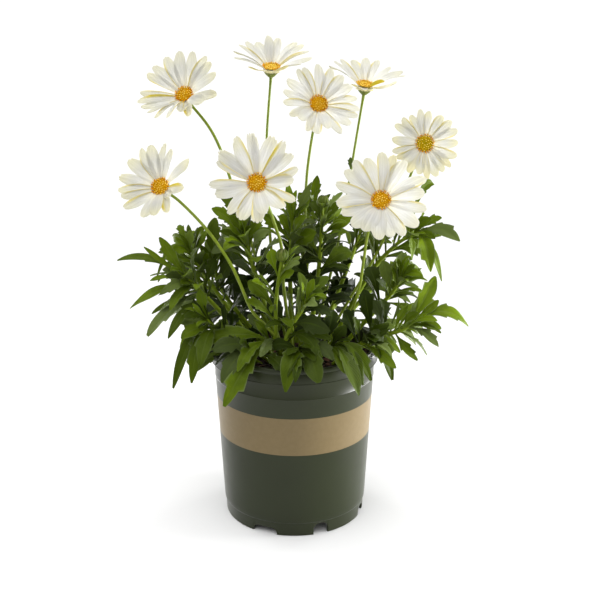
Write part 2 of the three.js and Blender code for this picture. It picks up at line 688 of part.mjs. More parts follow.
function makeCalyx() {
  return toSolid(turned([
    [0, -CALYX_DEPTH],
    [FLOWER_STEM_RADIUS + 0.5, -CALYX_DEPTH],
    [CALYX_RADIUS * 0.72, -CALYX_DEPTH * 0.5],
    [CALYX_RADIUS, -GAP],
    [0, -GAP],
  ], HEAD_SIDES));
}

function makeBud() {
  return toSolid(turned([
    [0, -BUD_RADIUS * 1.1],
    [BUD_RADIUS * 0.55, -BUD_RADIUS],
    [BUD_RADIUS, -BUD_RADIUS * 0.2],
    [BUD_RADIUS * 0.85, BUD_RADIUS * 0.6],
    [0, BUD_RADIUS * 1.2],
  ], HEAD_SIDES));
}

// ---- assembly ----

const osteospermum = new THREE.Group();
osteospermum.name = 'osteospermum';
const solids = []; // every finished piece where it stands, for its neighbours to keep clear of

function addPiece(parent, name, solid, material) {
  const mesh = new THREE.Mesh(toGeometry(solid), material);
  mesh.name = name;
  parent.add(mesh);
  osteospermum.updateMatrixWorld(true);
  solids.push(toSolid(mesh.geometry.clone().applyMatrix4(mesh.matrixWorld)));
}

// A group whose +Z points along a direction, with its X kept level.
function placedGroup(position, direction) {
  const level = UP.clone().cross(direction).normalize();
  const axes = new THREE.Matrix4().makeBasis(level, direction.clone().cross(level), direction);
  const group = new THREE.Group();
  group.position.copy(position);
  group.quaternion.setFromRotationMatrix(axes);
  osteospermum.add(group);
  osteospermum.updateMatrixWorld(true);
  return group;
}

addPiece(osteospermum, 'pot', makePot(), materials.pot);
addPiece(osteospermum, 'soil', makeSoil(), materials.soil);

const shootCurves = new Map(shoots.map((shoot) => [shoot.name, routeCurve(shoot.route)]));

flowers.forEach((flower) => {
  const facing = vector(flower.facing).normalize();
  const head = placedGroup(vector(flower.head), facing);
  const neck = vector(flower.head).addScaledVector(facing, 1 - CALYX_DEPTH);
  const parent = flower.growsFrom && shootCurves.get(flower.growsFrom.shoot);
  const roots = parent ? [parent.getPoint(flower.growsFrom.along).toArray()] : [];
  const curve = routeCurve([...roots, ...flower.stem, neck.toArray()]);
  let stem = makeStem(curve, FLOWER_STEM_RADIUS, FLOWER_STEM_SIDES).subtract(toSolid(
    new THREE.BoxGeometry(NECK_BLOCK, NECK_BLOCK, NECK_BLOCK)
      .translate(0, 0, NECK_BLOCK / 2 - CALYX_DEPTH - GAP)
      .applyMatrix4(head.matrixWorld),
  ));
  if (parent) {
    stem = stem.subtract(makeStem(parent, SHOOT_RADIUS + 2 * GAP, SHOOT_SIDES));
  }
  addPiece(osteospermum, `stem_${flower.name}`, stem, materials.stem);
  addPiece(head, `calyx_${flower.name}`, makeCalyx(), materials.calyx);
  addPiece(head, `rays_${flower.name}`, makeRays(flower), materials.ray);
  addPiece(head, `disc_${flower.name}`, makeDisc(), materials.disc);
});

buds.forEach(({ name, shoot }) => {
  const curve = shootCurves.get(shoot);
  const growth = curve.getTangent(1);
  const seat = curve.getPoint(1).addScaledVector(growth, BUD_RADIUS * 1.1 + GAP);
  addPiece(placedGroup(seat, growth), name, makeBud(), materials.calyx);
});

const bareStems = shoots.map((shoot) => makeStem(shootCurves.get(shoot.name), SHOOT_RADIUS, SHOOT_SIDES));
shoots.forEach((shoot, index) => {
  const neighbours = [...solids, ...bareStems.slice(index + 1)];
  const curve = shootCurves.get(shoot.name);
  const leafy = growLeaves(shoot, curve, bareStems[index], numbers(index + 101), neighbours);
  addPiece(osteospermum, `shoot_${shoot.name}`, leafy, materials.leaf);
});

export default osteospermum;
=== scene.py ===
"""Looks of a white osteospermum in a nursery pot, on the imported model.

Places and sizes are in millimetres, as in the part's source; finished meshes, lights and the
camera are in metres.
"""
import json
import math
from collections import namedtuple

import bpy
import numpy as np
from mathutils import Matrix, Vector

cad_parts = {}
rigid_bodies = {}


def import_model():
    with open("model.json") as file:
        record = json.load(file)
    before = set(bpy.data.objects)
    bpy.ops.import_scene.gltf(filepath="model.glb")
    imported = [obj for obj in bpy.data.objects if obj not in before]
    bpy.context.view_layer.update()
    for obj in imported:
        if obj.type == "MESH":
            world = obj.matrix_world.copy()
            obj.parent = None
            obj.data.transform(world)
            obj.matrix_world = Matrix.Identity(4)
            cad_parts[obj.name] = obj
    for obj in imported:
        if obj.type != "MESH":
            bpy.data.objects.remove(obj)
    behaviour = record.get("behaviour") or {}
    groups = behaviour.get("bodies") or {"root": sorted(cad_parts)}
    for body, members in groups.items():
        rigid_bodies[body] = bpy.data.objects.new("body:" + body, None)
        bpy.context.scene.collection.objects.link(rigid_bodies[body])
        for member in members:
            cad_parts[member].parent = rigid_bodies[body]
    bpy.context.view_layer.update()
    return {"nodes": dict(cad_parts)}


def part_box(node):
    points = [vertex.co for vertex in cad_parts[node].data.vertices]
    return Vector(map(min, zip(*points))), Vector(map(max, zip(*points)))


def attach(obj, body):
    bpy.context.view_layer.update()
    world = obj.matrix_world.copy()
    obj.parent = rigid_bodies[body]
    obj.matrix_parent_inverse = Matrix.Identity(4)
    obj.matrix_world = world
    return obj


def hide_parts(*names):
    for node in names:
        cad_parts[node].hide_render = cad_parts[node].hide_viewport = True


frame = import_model()

MM = 0.001
UP = np.array([0.0, 0.0, 1.0])
GOLDEN_ANGLE = math.radians(137.5)

# Pot, as the part's source has it
POT_HEIGHT = 171
WALL = 1.8
WALL_FOOT_RADIUS = 67.9
WALL_TOP_RADIUS = 77.2
RIM_RADIUS = 78.8
RIM_DEPTH = 15
STEP_HEIGHT = 14.3
FOOT_RADIUS = 67.2
FOOT_WALL = 3
FLOOR_TOP = 14.2
FLOOR_THICKNESS = 2
LUG_RADIUS = 85.5
LUG_HALF_ANGLE = 28
LUG_TURN = 8
WALL_BEAD = 140.9  # height of a fine raised line round the wall
NOTCHES = [(-25, 25, 6.5), (22, 15, 11), (73, 16, 8)]  # in the foot: degrees from the front, width, height
NOTCH_CORNER = 6.5
BAND_LOW, BAND_HIGH = 85.1, 122.0
SOIL_TOP = 158
STEM_FOOT = SOIL_TOP - 4

# Growth, as the part's source has it
SHOOT_RADIUS, SHOOT_TIP_RADIUS = 2.3, 1.35
FLOWER_STEM_RADIUS = 1.35
SWINGS = [0, 8, -8, 16, -16, 26, -26, 40, -40]  # degrees, in the order in which the part tries them
SWING_SHRINK = 0.03
LOW_LEAF_OPENING = math.radians(62)
TOP_LEAF_OPENING = math.radians(24)
OPENING_SPREAD = math.radians(22)
SHOOT_SEED = 101
LEAF_DROOP = 0.16
LEAF_SLIMNESS = 0.34
LEAF_ARCH = 0.1
LIGHT = np.array([0.0, -0.8, 0.6])  # where the leaves turn their faces to
LEAF_TURN = 0.6
RAY_START = 5.4
RAY_HEIGHT = 0.8
DISC_FOOT = 1.9
DISC_RADIUS = 7.6
CALYX_RADIUS = 7.4
CALYX_DEPTH = 7.4
BUD_RADIUS = 5.2

# Flower heads: place, facing, rays (turn and rise in degrees, length, width, marks), the points of the
# stem, and for some the shoot that the stem grows from and how far up it, or a small leaf on the stem.
# Marks: < and > fold in a margin, Y makes the fold deeply yellow, a makes the whole ray yellow and
# g slightly so, c rolls it up, d lets it droop and e turns it on edge.
FLOWERS = [
    dict(name="upper_left", head=[-99.4, 22.4, 398.9], facing=[-0.2, -0.74, 0.64],
         rays=[(23, 28, 33.4, 8.7), (51, 23, 33.6, 7.6), (62, 21, 35.5, 7.6, ">"), (85, 22, 36.1, 9),
               (104, 23, 36.6, 9.2), (124, 21, 36, 9, ">"), (144, 20, 35.5, 8.2),
               (160, 21, 35, 8.4, ">"), (192, 22, 35.1, 7.1, "<"), (205, 24, 38.2, 7.6, "<Y"),
               (217, 24, 37.7, 7.6), (234, 28, 36.9, 4.9, "e"), (248, 28, 37.9, 6.5, "<e"),
               (266, 32, 36.1, 6, ">e"), (284, 28, 21.3, 9, "c"), (297, 19, 25.4, 8.2, "cY<"),
               (325, 36, 35.8, 10.1), (347, 26, 36.8, 9.5, "c")],
         stem=[[-11, 6, STEM_FOOT], [-31, 12, 232], [-54, 18, 305], [-60, 20, 325], [-68, 22, 350],
               [-79, 22, 372]]),
    dict(name="top", head=[-21.2, 40.9, 420.9], facing=[0.05, -0.27, 0.96],
         rays=[(3, 27, 33.8, 7, "<>"), (26, 28, 34.9, 7.5), (44, 25, 35.7, 8.9), (71, 28, 35.4, 8.1),
               (78, 21, 33.5, 5.4, "g"), (85, 32, 35.1, 7), (104, 22, 33.6, 8.6), (123, 25, 34.7, 6.5),
               (139, 26, 33.8, 7, "<"), (187, 31, 36.5, 5.9, "e"), (197, 25, 36.2, 5.9),
               (219, 21, 28, 5.4, "dg"), (257, 21, 36.5, 6.5, "d"), (268, 21, 34.5, 6.5, "d"),
               (289, 29, 29.9, 5.4, "d<g"), (307, 26, 34.3, 5.9), (327, 26, 37.3, 5.4, "e")],
         stem=[[-6, 14, STEM_FOOT], [-20, 26, 233], [-25, 34, 300], [-26, 38, 354]]),
    dict(name="upper_middle", head=[21.7, 2.7, 393.3], facing=[0.1, -0.84, 0.54],
         rays=[(1, 20, 30.4, 7.3, ">"), (25, 21, 29, 9.8), (47, 20, 28.9, 9.3, ">"),
               (66, 17, 29.3, 8.3, ">"), (87, 21, 30.5, 8.3), (110, 21, 30, 7, "<"),
               (122, 20, 31.4, 6.5, "<"), (147, 22, 31, 7.8), (167, 22, 30, 7), (184, 21, 29.5, 7, "<"),
               (210, 25, 29.7, 7.8, ">c"), (226, 32, 27.6, 8), (246, 24, 31.6, 7.5, ">c"),
               (260, 24, 31.7, 9.3, ">"), (280, 30, 28.9, 8), (298, 18, 33.4, 7, ">"),
               (315, 21, 33, 7.8), (332, 18, 33.4, 7, ">"), (344, 21, 33, 7.5, ">")],
         stem=[[5, 8, STEM_FOOT], [9, 17, 256], [11, 16, 319], [15, 10, 356]]),
    dict(name="upper_right", head=[65.7, 50.7, 403.9], facing=[0.1, -0.21, 0.97],
         rays=[(20, 24, 32.2, 6.7), (45, 27, 34.3, 7.5, ">"), (65, 29, 33.9, 7.7),
               (84, 24, 33.2, 8.3, "<"), (109, 28, 33.4, 5.9, "<"), (125, 27, 33.8, 5.9),
               (161, 29, 35.4, 5.3, "e<"), (215, 21, 23.4, 4.8, "dg"), (230, 16, 33.3, 5.9, "d"),
               (239, 15, 33.2, 6.4, "d"), (249, 17, 35.3, 5.9, "d"), (285, 35, 22.2, 7.2, "a"),
               (292, 25, 33.7, 4.8, "de"), (324, 27, 34.8, 5.3), (346, 27, 33.3, 5.9, "e")],
         stem=[[14, 14, STEM_FOOT], [31, 20, 217], [42, 25, 264], [47, 30, 288], [55, 42, 337]],
         leaflet=(0.75, [52.5, 36, 340])),
    dict(name="front_left", head=[-31, -75.1, 337.7], facing=[0.01, -0.91, 0.41],
         rays=[(2, 20, 27.4, 10.8, ">"), (16, 15, 32.2, 7.9, ">"), (39, 16, 33.3, 9.9),
               (54, 18, 37.4, 9.1, ">Y"), (69, 11, 36.5, 11.1), (93, 14, 36.6, 6.2), (98, 15, 37.2, 6.8),
               (118, 16, 36.7, 10.2, "<"), (139, 13, 36.6, 7.9), (146, 17, 34.8, 9.1, ">"),
               (155, 16, 33.3, 6.2, ">"), (185, 16, 36.2, 8.5, "<"), (198, 17, 32.8, 9.6),
               (229, 21, 34, 8.5), (248, 20, 33, 11.4, "<"), (271, 19, 32.9, 10.8, "<"),
               (283, 31, 29.5, 9.9), (311, 27, 30.8, 10.5, ">"), (331, 20, 33.5, 7.9, "<>")],
         stem=[[0, -18, STEM_FOOT], [-9, -42, 233], [-11, -47, 274], [-16, -54, 295], [-22, -62, 315]]),
    dict(name="right", head=[120.2, 23.1, 355.1], facing=[-0.07, -0.95, 0.29],
         rays=[(0, 19, 25.9, 7.2), (21, 16, 27.2, 7.7, "<"), (41, 16, 26.7, 7.7, ">"),
               (60, 16, 24.7, 8.4, ">"), (85, 14, 24.6, 7, ">"), (100, 16, 26.7, 6),
               (119, 16, 24.2, 6.7, ">"), (135, 15, 26.1, 7.2, "<"), (149, 16, 27.7, 7.2),
               (176, 14, 25.6, 7.2), (197, 14, 26.1, 6.7, "<"), (210, 16, 25.2, 6.2, "<g"),
               (224, 19, 24.4, 7.9), (241, 14, 26.6, 7.2, "g"), (261, 17, 25.3, 7.7),
               (274, 14, 28.6, 5.8, "g"), (290, 13, 28.1, 7.7), (305, 12, 26.5, 7.2),
               (319, 14, 27.6, 6.2, "g"), (335, 17, 27.2, 8.2, ">")],
         stem=[[22, 8, STEM_FOOT], [48, 14, 200], [76, 27, 245], [98, 36, 290], [112, 38, 330]]),
    dict(name="front_right", head=[74.1, -69.2, 321.4], facing=[-0.03, -0.87, 0.5],
         rays=[(8, 14, 32.6, 11.5), (26, 14, 37.1, 9.8, "<"), (61, 11, 34.5, 11, ">"),
               (75, 12, 35.5, 8.4, "g"), (89, 15, 36.2, 10.1, ">"), (109, 11, 33.5, 9.6),
               (126, 15, 36.2, 9, "<"), (141, 11, 35, 9), (164, 15, 36.2, 8.4, "<"),
               (189, 16, 34.3, 11, ">"), (203, 18, 32.9, 9.3), (227, 21, 33, 11.3), (246, 21, 30, 11.5),
               (265, 20, 34.5, 11), (284, 17, 32.3, 10.1), (301, 14, 34.1, 9.3, ">"),
               (321, 15, 35.7, 11), (346, 13, 35.1, 9, ">")],
         stem=[[18, -12, STEM_FOOT], [46, -26, 195], [58, -36, 231], [62, -44, 263], [65, -53, 290]]),
    dict(name="left", head=[-117.1, -31.4, 325.3], facing=[-0.28, -0.8, 0.53],
         rays=[(38, 22, 32, 7.2), (76, 21, 30, 5.8), (91, 20, 33, 6.3), (111, 18, 33.9, 9.9),
               (128, 17, 33.8, 8.5, ">"), (148, 20, 33.5, 9.7), (175, 19, 33.9, 8.5),
               (196, 19, 32.9, 7.7, "<"), (207, 20, 30.9, 7.2, "<"), (227, 19, 32.4, 8.9, "<"),
               (265, 27, 32.3, 8.9), (283, 30, 31.5, 8.9), (302, 21, 27.5, 8.2, "c<Y"),
               (325, 31, 14.4, 7.2, "c"), (355, 26, 24.2, 8.2, "c>Y")],
         parent=("front_centre", 0.52),
         stem=[[-27, -57, 207], [-38, -56, 220], [-48, -52, 243], [-58, -48, 263], [-77, -40, 289],
               [-100, -30, 311]]),
]

# Shoots: name, points of the stem, listed leaves (how far along the stem, tip, width, arch) and
# leaves by the rule of growth (how many, from how far along the stem, the longest one's length)
SHOOTS = [
    ("front_centre",
     [[-4, -26, STEM_FOOT], [-24, -44, 178], [-17, -52, 192], [-16, -58, 230], [-11, -62, 266]],
     [(0.42, [-50, -88, 175], 11, 8), (0.4, [-61, -97, 144], 15, 14), (0.44, [-80, -60, 190], 16, 8),
      (0.9, [4, -76, 270], 9, 2), (0.93, [-20, -70, 284], 6, 0), (0.95, [-2, -66, 277], 6, 0),
      (0.75, [-27, -84, 250], 8, 2)], (7, 0.5, 42)),
    ("front_right",
     [[6, -28, STEM_FOOT], [-8, -50, 182], [-3, -59, 204], [6, -62, 220], [11, -64, 229]],
     [(0.9, [17, -70, 252], 8, 2), (0.95, [30, -60, 252], 9, 2), (0.8, [27, -80, 239], 8, 5),
      (0.86, [8, -76, 251], 7, 0), (0.35, [24, -88, 185], 11, 12), (0.6, [-7, -75, 243], 7, 3)],
     (7, 0.4, 44)),
    ("front_low_left", [[-14, -32, STEM_FOOT], [-29, -52, 175], [-38, -62, 182]],
     [(0.95, [-45, -93, 149], 13, 14), (0.9, [-64, -88, 163], 14, 12), (0.7, [-70, -84, 192], 15, 8)],
     (7, 0.5, 48)),
    ("front_low_middle", [[10, -42, STEM_FOOT], [5, -58, 178], [4, -66, 186]],
     [(0.95, [-8, -100, 159], 18, 14), (0.9, [17, -97, 163], 19, 12), (0.8, [32, -95, 177], 12, 10)],
     (6, 0.5, 42)),
    ("front_low_right", [[24, -34, STEM_FOOT], [25, -50, 178], [35, -58, 185]],
     [(0.95, [57, -98, 155], 15, 14), (0.9, [61, -84, 159], 14, 14), (0.98, [68, -76, 160], 13, 16),
      (0.6, [45, -92, 174], 12, 10)], (7, 0.5, 46)),
    ("left_low", [[-30, -22, STEM_FOOT], [-57, -36, 180], [-80, -44, 208]],
     [(0.97, [-110, -62, 147], 12, 16), (0.9, [-92, -72, 156], 13, 14), (0.8, [-83, -80, 175], 15, 10)],
     (8, 0.35, 50)),
    ("left_middle", [[-26, -12, STEM_FOOT], [-71, -26, 212], [-88, -30, 233], [-98, -32, 242]],
     [(0.98, [-161, -20, 255], 9, 10), (0.97, [-135, -30, 271], 5, 0), (0.9, [-119, -36, 281], 10, 0),
      (0.62, [-149, -38, 215], 11, 10), (0.7, [-111, -58, 221], 12, 6), (0.55, [-134, -48, 193], 16, 8),
      (0.6, [-121, -40, 214], 10, 4), (0.45, [-118, -62, 195], 10, 6), (0.5, [-133, -22, 206], 7, 4)],
     (7, 0.3, 42)),
    ("left_upper", [[-30, 0, STEM_FOOT], [-67, -8, 214], [-87, -8, 245], [-96, -8, 260]],
     [(0.95, [-97, -8, 286], 7, 0), (0.9, [-89, -2, 282], 7, 0), (0.95, [-108, -14, 276], 5, 0),
      (0.8, [-126, -24, 238], 6, 24), (0.85, [-81, 4, 281], 8, 0)], (10, 0.3, 42)),
    ("left_top", [[-20, 10, STEM_FOOT], [-63, 12, 208], [-76, 8, 242]],
     [(0.97, [-75, 0, 290], 15, 3), (0.9, [-55, 12, 276], 7, 0), (0.95, [-87, 0, 265], 8, 0),
      (0.8, [-60, -14, 252], 10, 6), (0.93, [-56, -6, 281], 17, 8)], (9, 0.3, 46)),
    ("middle_left", [[-12, -4, STEM_FOOT], [-35, -16, 240], [-45, -22, 280]],
     [(0.95, [-74, -20, 304], 10, 4), (0.7, [-62, -46, 274], 14, 8), (0.9, [-29, -18, 298], 9, 0),
      (0.97, [-53, -14, 297], 8, 0)], (11, 0.3, 48)),
    ("top_middle", [[-2, 2, STEM_FOOT], [-4, 4, 247], [0, 4, 291]],
     [(0.8, [-6, 0, 324], 9, 0), (0.98, [16, 6, 323], 8, 0), (0.9, [-8, 8, 306], 8, 2),
      (0.7, [-12, -6, 294], 10, 3)], (11, 0.35, 46)),
    ("top_bud", [[12, -2, STEM_FOOT], [23, -2, 247], [26, 0, 300]],
     [(0.95, [37, 2, 316], 8, 0), (0.9, [20, 6, 312], 6, 0), (0.85, [42, -6, 306], 9, 2),
      (0.8, [16, -16, 298], 9, 3)], (11, 0.35, 48)),
    ("right_top", [[32, 20, STEM_FOOT], [70, 30, 225], [96, 26, 258], [114, 18, 271]],
     [(0.98, [154, 6, 267], 13, 8), (0.97, [128, 0, 239], 15, 12), (0.98, [142, 20, 224], 8, 10),
      (0.99, [140, 20, 285], 8, 4), (0.9, [111, 10, 248], 8, 6), (0.85, [132, 36, 314], 9, 18)],
     (9, 0.4, 44)),
    ("right_tuft", [[36, 2, STEM_FOOT], [77, 0, 202], [92, -4, 221], [98, -6, 233]],
     [(0.7, [82, 0, 244], 10, 0), (0.95, [101, -2, 258], 12, 0), (0.97, [111, -8, 246], 7, 0),
      (0.8, [91, -14, 246], 9, 0)], (9, 0.35, 42)),
    ("right_low", [[36, -10, STEM_FOOT], [81, -26, 184], [97, -30, 191], [110, -30, 198]],
     [(0.98, [162, -30, 197], 14, 12), (0.9, [128, -34, 244], 15, 2), (0.98, [151, -20, 208], 6, 4),
      (0.85, [133, -42, 181], 11, 4), (0.95, [132, -28, 220], 8, 0), (0.8, [117, -20, 222], 9, 0)],
     (7, 0.3, 42)),
    ("right_front", [[34, -24, STEM_FOOT], [57, -40, 180], [65, -46, 185]],
     [(0.95, [89, -62, 155], 14, 18), (0.85, [80, -56, 186], 12, 14), (0.9, [97, -44, 175], 9, 8)],
     (7, 0.5, 46)),
    ("rear_left", [[-26, 20, STEM_FOOT], [-70, 46, 196], [-100, 62, 216]],
     [(0.98, [-140, 84, 206], 13, 12), (0.9, [-118, 98, 228], 12, 8)], (11, 0.35, 50)),
    ("rear_left_top", [[-14, 22, STEM_FOOT], [-40, 50, 226], [-56, 62, 268]],
     [(0.98, [-70, 76, 302], 10, 2)], (12, 0.35, 48)),
    ("rear_middle", [[2, 32, STEM_FOOT], [4, 68, 204], [8, 86, 232]],
     [(0.98, [14, 100, 268], 12, 2)], (10, 0.35, 40)),
    ("rear_top", [[6, 22, STEM_FOOT], [12, 42, 236], [18, 52, 284]],
     [(0.98, [22, 62, 318], 9, 1)], (12, 0.35, 46)),
    ("rear_right", [[28, 28, STEM_FOOT], [68, 58, 196], [94, 76, 210]],
     [(0.98, [132, 96, 204], 13, 12), (0.9, [116, 60, 236], 12, 8)], (11, 0.35, 50)),
    ("rear_right_top", [[20, 22, STEM_FOOT], [52, 50, 230], [66, 60, 268]],
     [(0.98, [82, 70, 300], 10, 2)], (12, 0.35, 48)),
    ("rear_low_left", [[-16, 34, STEM_FOOT], [-32, 58, 178], [-42, 72, 184]],
     [(0.95, [-60, 102, 150], 15, 14), (0.9, [-26, 104, 156], 14, 14)], (8, 0.5, 48)),
    ("rear_low_right", [[16, 36, STEM_FOOT], [34, 60, 178], [42, 72, 184]],
     [(0.95, [64, 100, 148], 15, 14), (0.9, [26, 105, 158], 14, 14)], (8, 0.5, 48)),
]
BUDS = {"front_centre": "bud_front", "top_bud": "bud_top"}

# Leaves that a shoot has beyond those of its CAD node
EXTRA_LEAVES = 11
OTHER_EXTRAS = {
    "front_low_left": 4, "front_low_middle": 2, "front_low_right": 3, "right_front": 6, "front_right": 7,
    "right_low": 9, "right_tuft": 13, "top_bud": 14, "middle_left": 14, "rear_top": 14, "rear_middle": 14,
}
LONG_SHOOT = 70  # a shoot with more reach than this has extra leaves from further down
EXTRA_LENGTHS = (50, 30)  # from the lowest to the highest one, each give or take LENGTH_SPREAD
LENGTH_SPREAD = (0.8, 1.15)
EXTRA_OPENINGS, EXTRA_OPENING_SPREAD = (75, 22), 14  # degrees, from the lowest to the highest one
EXTRA_SLIMNESS = (0.14, 0.27)
TRIES = 14  # places tried for each extra leaf
TUFT_LEAVES = 5  # small young leaves at the shoot's tip
TUFT_LENGTHS = (14, 27)
TUFT_OPENINGS = (6, 34)  # degrees
TUFT_SLIMNESS = (0.12, 0.2)
TUFT_ARCH = 0.06
SAME_POINT = 0.06  # how near a leaf's tip is to its corner in the CAD mesh
BOX_SLACK = 5  # how far leaves may pass the box of their node

# Room that extra leaves leave free
OVER_RIM = 6
BEFORE_POT = 12
BUD_ROOM = (8, 9)  # to each side of the front bud, and above and below it
LUG_MIDDLE, LUG_ROOM = (81, 6, 176), 17

HEART = np.array([0, 5, 205])  # the shaded middle of the plant

LEAF_ROWS = 19
LEAF_COLUMNS = np.array([-1, -0.72, -0.3, 0, 0.3, 0.72, 1])
PETAL_ROWS = 16
PETAL_COLUMNS = np.linspace(-1, 1, 11)
PETAL_FULLNESS = 1.25  # a petal's width over that of its CAD ray
PETAL_THICKNESS = 0.45
FOLD_REACH, FOLD_LIFT = 0.16, 0.13  # how far a margin folds in and up, in petal widths
NOTCHES_AT = (0.36, -0.36)  # across a petal's tip
BRACT_ROWS = 7
BRACT_COLUMNS = np.linspace(-1, 1, 5)
INNER_FLORETS, RIM_FLORETS = 58, 36
CHIPS = 620  # of bark, on the growing mix

# Per flower: depth of the notches in a petal's tip, and how creamy and how shaded its petals are
LOOKS = {
    "upper_left": (0.018, 0.7, 0.85), "top": (0.022, 0.5, 0.4), "upper_middle": (0.02, 0.45, 0.2),
    "upper_right": (0.018, 0.4, 0.65), "front_left": (0.055, 0.55, 0.15), "right": (0.008, 1.0, 0.7),
    "front_right": (0.02, 0.55, 0.1), "left": (0.03, 0.8, 0.95),
}

# Studio, in metres: a white sky, a broad key light overhead and soft boxes that all point at AIM,
# with place, width, height and power
SKY_POWER = 0.35
KEY_POWER, KEY_BREADTH = 3.4, math.radians(100)
KEY_TILT = (math.radians(9), math.radians(-7), 0)
AIM = (0, 0, 0.2)
BOX_SPREAD = math.radians(60)
SOFT_BOXES = {
    "right_box": ((0.95, 0.75, 0.2), 0.5, 0.4, 1.6),
    "right_side_box": ((1.3, 0, 0.14), 0.4, 0.25, 3.3),
    "left_box": ((-0.85, 0.85, 0.2), 0.5, 0.4, 1.6),
}
FLOOR_HALF = 30.0
CAMERA_PLACE = (0.0053, -1.0, 0.523)
CAMERA_TILT = math.radians(72.7)
CAMERA_LENS = 66.84


# ---------------------------------------------------------------- small maths

def unit(v):
    v = np.asarray(v, float)
    return v / np.linalg.norm(v)


def spun(v, axis, angle):
    """v turned about a unit axis."""
    c, s = math.cos(angle), math.sin(angle)
    return v * c + np.cross(axis, v) * s + axis * (v @ axis) * (1 - c)


def lerp(a, b, t):
    """The value at t between a and b."""
    return a + (b - a) * t


def smooth(low, high, t):
    """Rises gently from 0 at low to 1 at high."""
    x = np.clip((t - low) / (high - low), 0, 1)
    return x * x * (3 - 2 * x)


def level(angle):
    """The level unit vector at that angle."""
    return np.array([math.cos(angle), math.sin(angle), 0])


def beside(way):
    """A unit vector square to a stem's direction."""
    return unit(np.cross(way, [0, 0, 1] if abs(way[0]) > 0.9 else [1, 0, 0]))


def arched(base, tip, lift, t):
    """The point at t of an arch that stands that much above its chord."""
    middle = (base + tip) / 2 + UP * 2 * lift
    return base * (1 - t) ** 2 + middle * 2 * t * (1 - t) + tip * t * t


def numbers(state):
    """The part's own repeatable row of numbers from 0 to 1."""
    while True:
        state = (state * 1664525 + 1013904223) % 4294967296
        yield state / 4294967296


class Curve:
    """The smooth line through a stem's points, as the part draws it."""

    def __init__(self, points):
        p = np.array(points, float)
        self.p = np.vstack([2 * p[0] - p[1], p, 2 * p[-1] - p[-2]])

    def at(self, t):
        spans = len(self.p) - 3
        i = min(int(t * spans), spans - 1)
        w = t * spans - i
        p0, p1, p2, p3 = self.p[i:i + 4]
        m1, m2 = (p2 - p0) / 2, (p3 - p1) / 2
        return (p1 + m1 * w + (3 * (p2 - p1) - 2 * m1 - m2) * w ** 2
                + (2 * (p1 - p2) + m1 + m2) * w ** 3)

    def along(self, t):
        return unit(self.at(min(1, t + 1e-4)) - self.at(max(0, t - 1e-4)))

    def reach(self):
        """How far its two ends are apart."""
        return np.linalg.norm(self.at(1) - self.at(0))


def basis(facing):
    """Columns X, Y, Z of a head that faces that way with its X level."""
    z = unit(facing)
    x = unit(np.cross(UP, z))
    return np.column_stack([x, np.cross(z, x), z])


# ---------------------------------------------------------------- meshes

def add(name, data):
    """A new object in the scene."""
    made = bpy.data.objects.new(name, data)
    bpy.context.scene.collection.objects.link(made)
    return made


class Shape:
    """Gathers closed skins, with a place on each (uv) and what the materials read (tone)."""

    def __init__(self):
        self.points, self.uvs, self.tones, self.faces, self.count = [], [], [], [], 0

    def add(self, points, faces, uv, tone):
        points = np.asarray(points, float).reshape(-1, 3)
        self.points.append(points)
        self.uvs.append(np.broadcast_to(uv, (len(points), 2)))
        self.tones.append(np.broadcast_to(tone, (len(points), 3)))
        self.faces += [tuple(int(i) + self.count for i in face) for face in faces]
        self.count += len(points)

    def piece(self, name, material, node, sharp=50, place=None):
        """The finished object, standing for its CAD node."""
        points = np.vstack(self.points)
        if place:
            points = points @ place[0].T + np.array(place[1], float)
        mesh = bpy.data.meshes.new(name)
        mesh.from_pydata((points * MM).tolist(), [], self.faces)
        corner_points = np.zeros(len(mesh.loops), np.int32)
        mesh.loops.foreach_get("vertex_index", corner_points)
        layer = mesh.uv_layers.new(name="place")
        layer.uv.foreach_set("vector", np.vstack(self.uvs)[corner_points].astype(np.float32).ravel())
        tones = np.hstack([np.vstack(self.tones), np.ones((len(points), 1))])
        mesh.attributes.new("tone", "FLOAT_COLOR", "POINT").data.foreach_set(
            "color", tones.astype(np.float32).ravel())
        mesh.shade_smooth()
        mesh.set_sharp_from_angle(angle=math.radians(sharp))
        mesh.materials.append(material)
        made = add(name, mesh)
        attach(made, "root")
        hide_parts(node)


def grid_faces(index):
    """Four-sided faces between the rows and columns of point numbers."""
    rows, columns = index.shape
    return [(index[r, c], index[r + 1, c], index[r + 1, c + 1], index[r, c + 1])
            for r in range(rows - 1) for c in range(columns - 1)]


def blade(shape, middle, normals, thickness, columns, t, tones, under=None):
    """A thin leaf or petal with sharp margins, from the surface midway through it."""
    rows = len(t)
    inner = (slice(1, -1), slice(1, -1))
    top = np.arange(rows * len(columns)).reshape(rows, len(columns))
    below = top.copy()
    below[inner] = top.size + np.arange(top[inner].size).reshape(top[inner].shape)
    half = normals * (thickness / 2)
    upper = middle.copy()
    upper[inner] += half[inner]
    lower = (middle - half)[inner]
    faces = grid_faces(top) + [face[::-1] for face in grid_faces(below)]
    uv = np.stack(np.broadcast_arrays((columns[None, :] + 1) / 2, t[:, None]), axis=-1)
    tones = np.broadcast_to(tones, middle.shape)
    under = tones if under is None else np.broadcast_to(under, middle.shape)
    both = [np.vstack([above.reshape(-1, above.shape[-1]), beneath.reshape(-1, above.shape[-1])])
            for above, beneath in ((upper, lower), (uv, uv[inner]), (tones, under[inner]))]
    shape.add(both[0], faces, both[1], both[2])


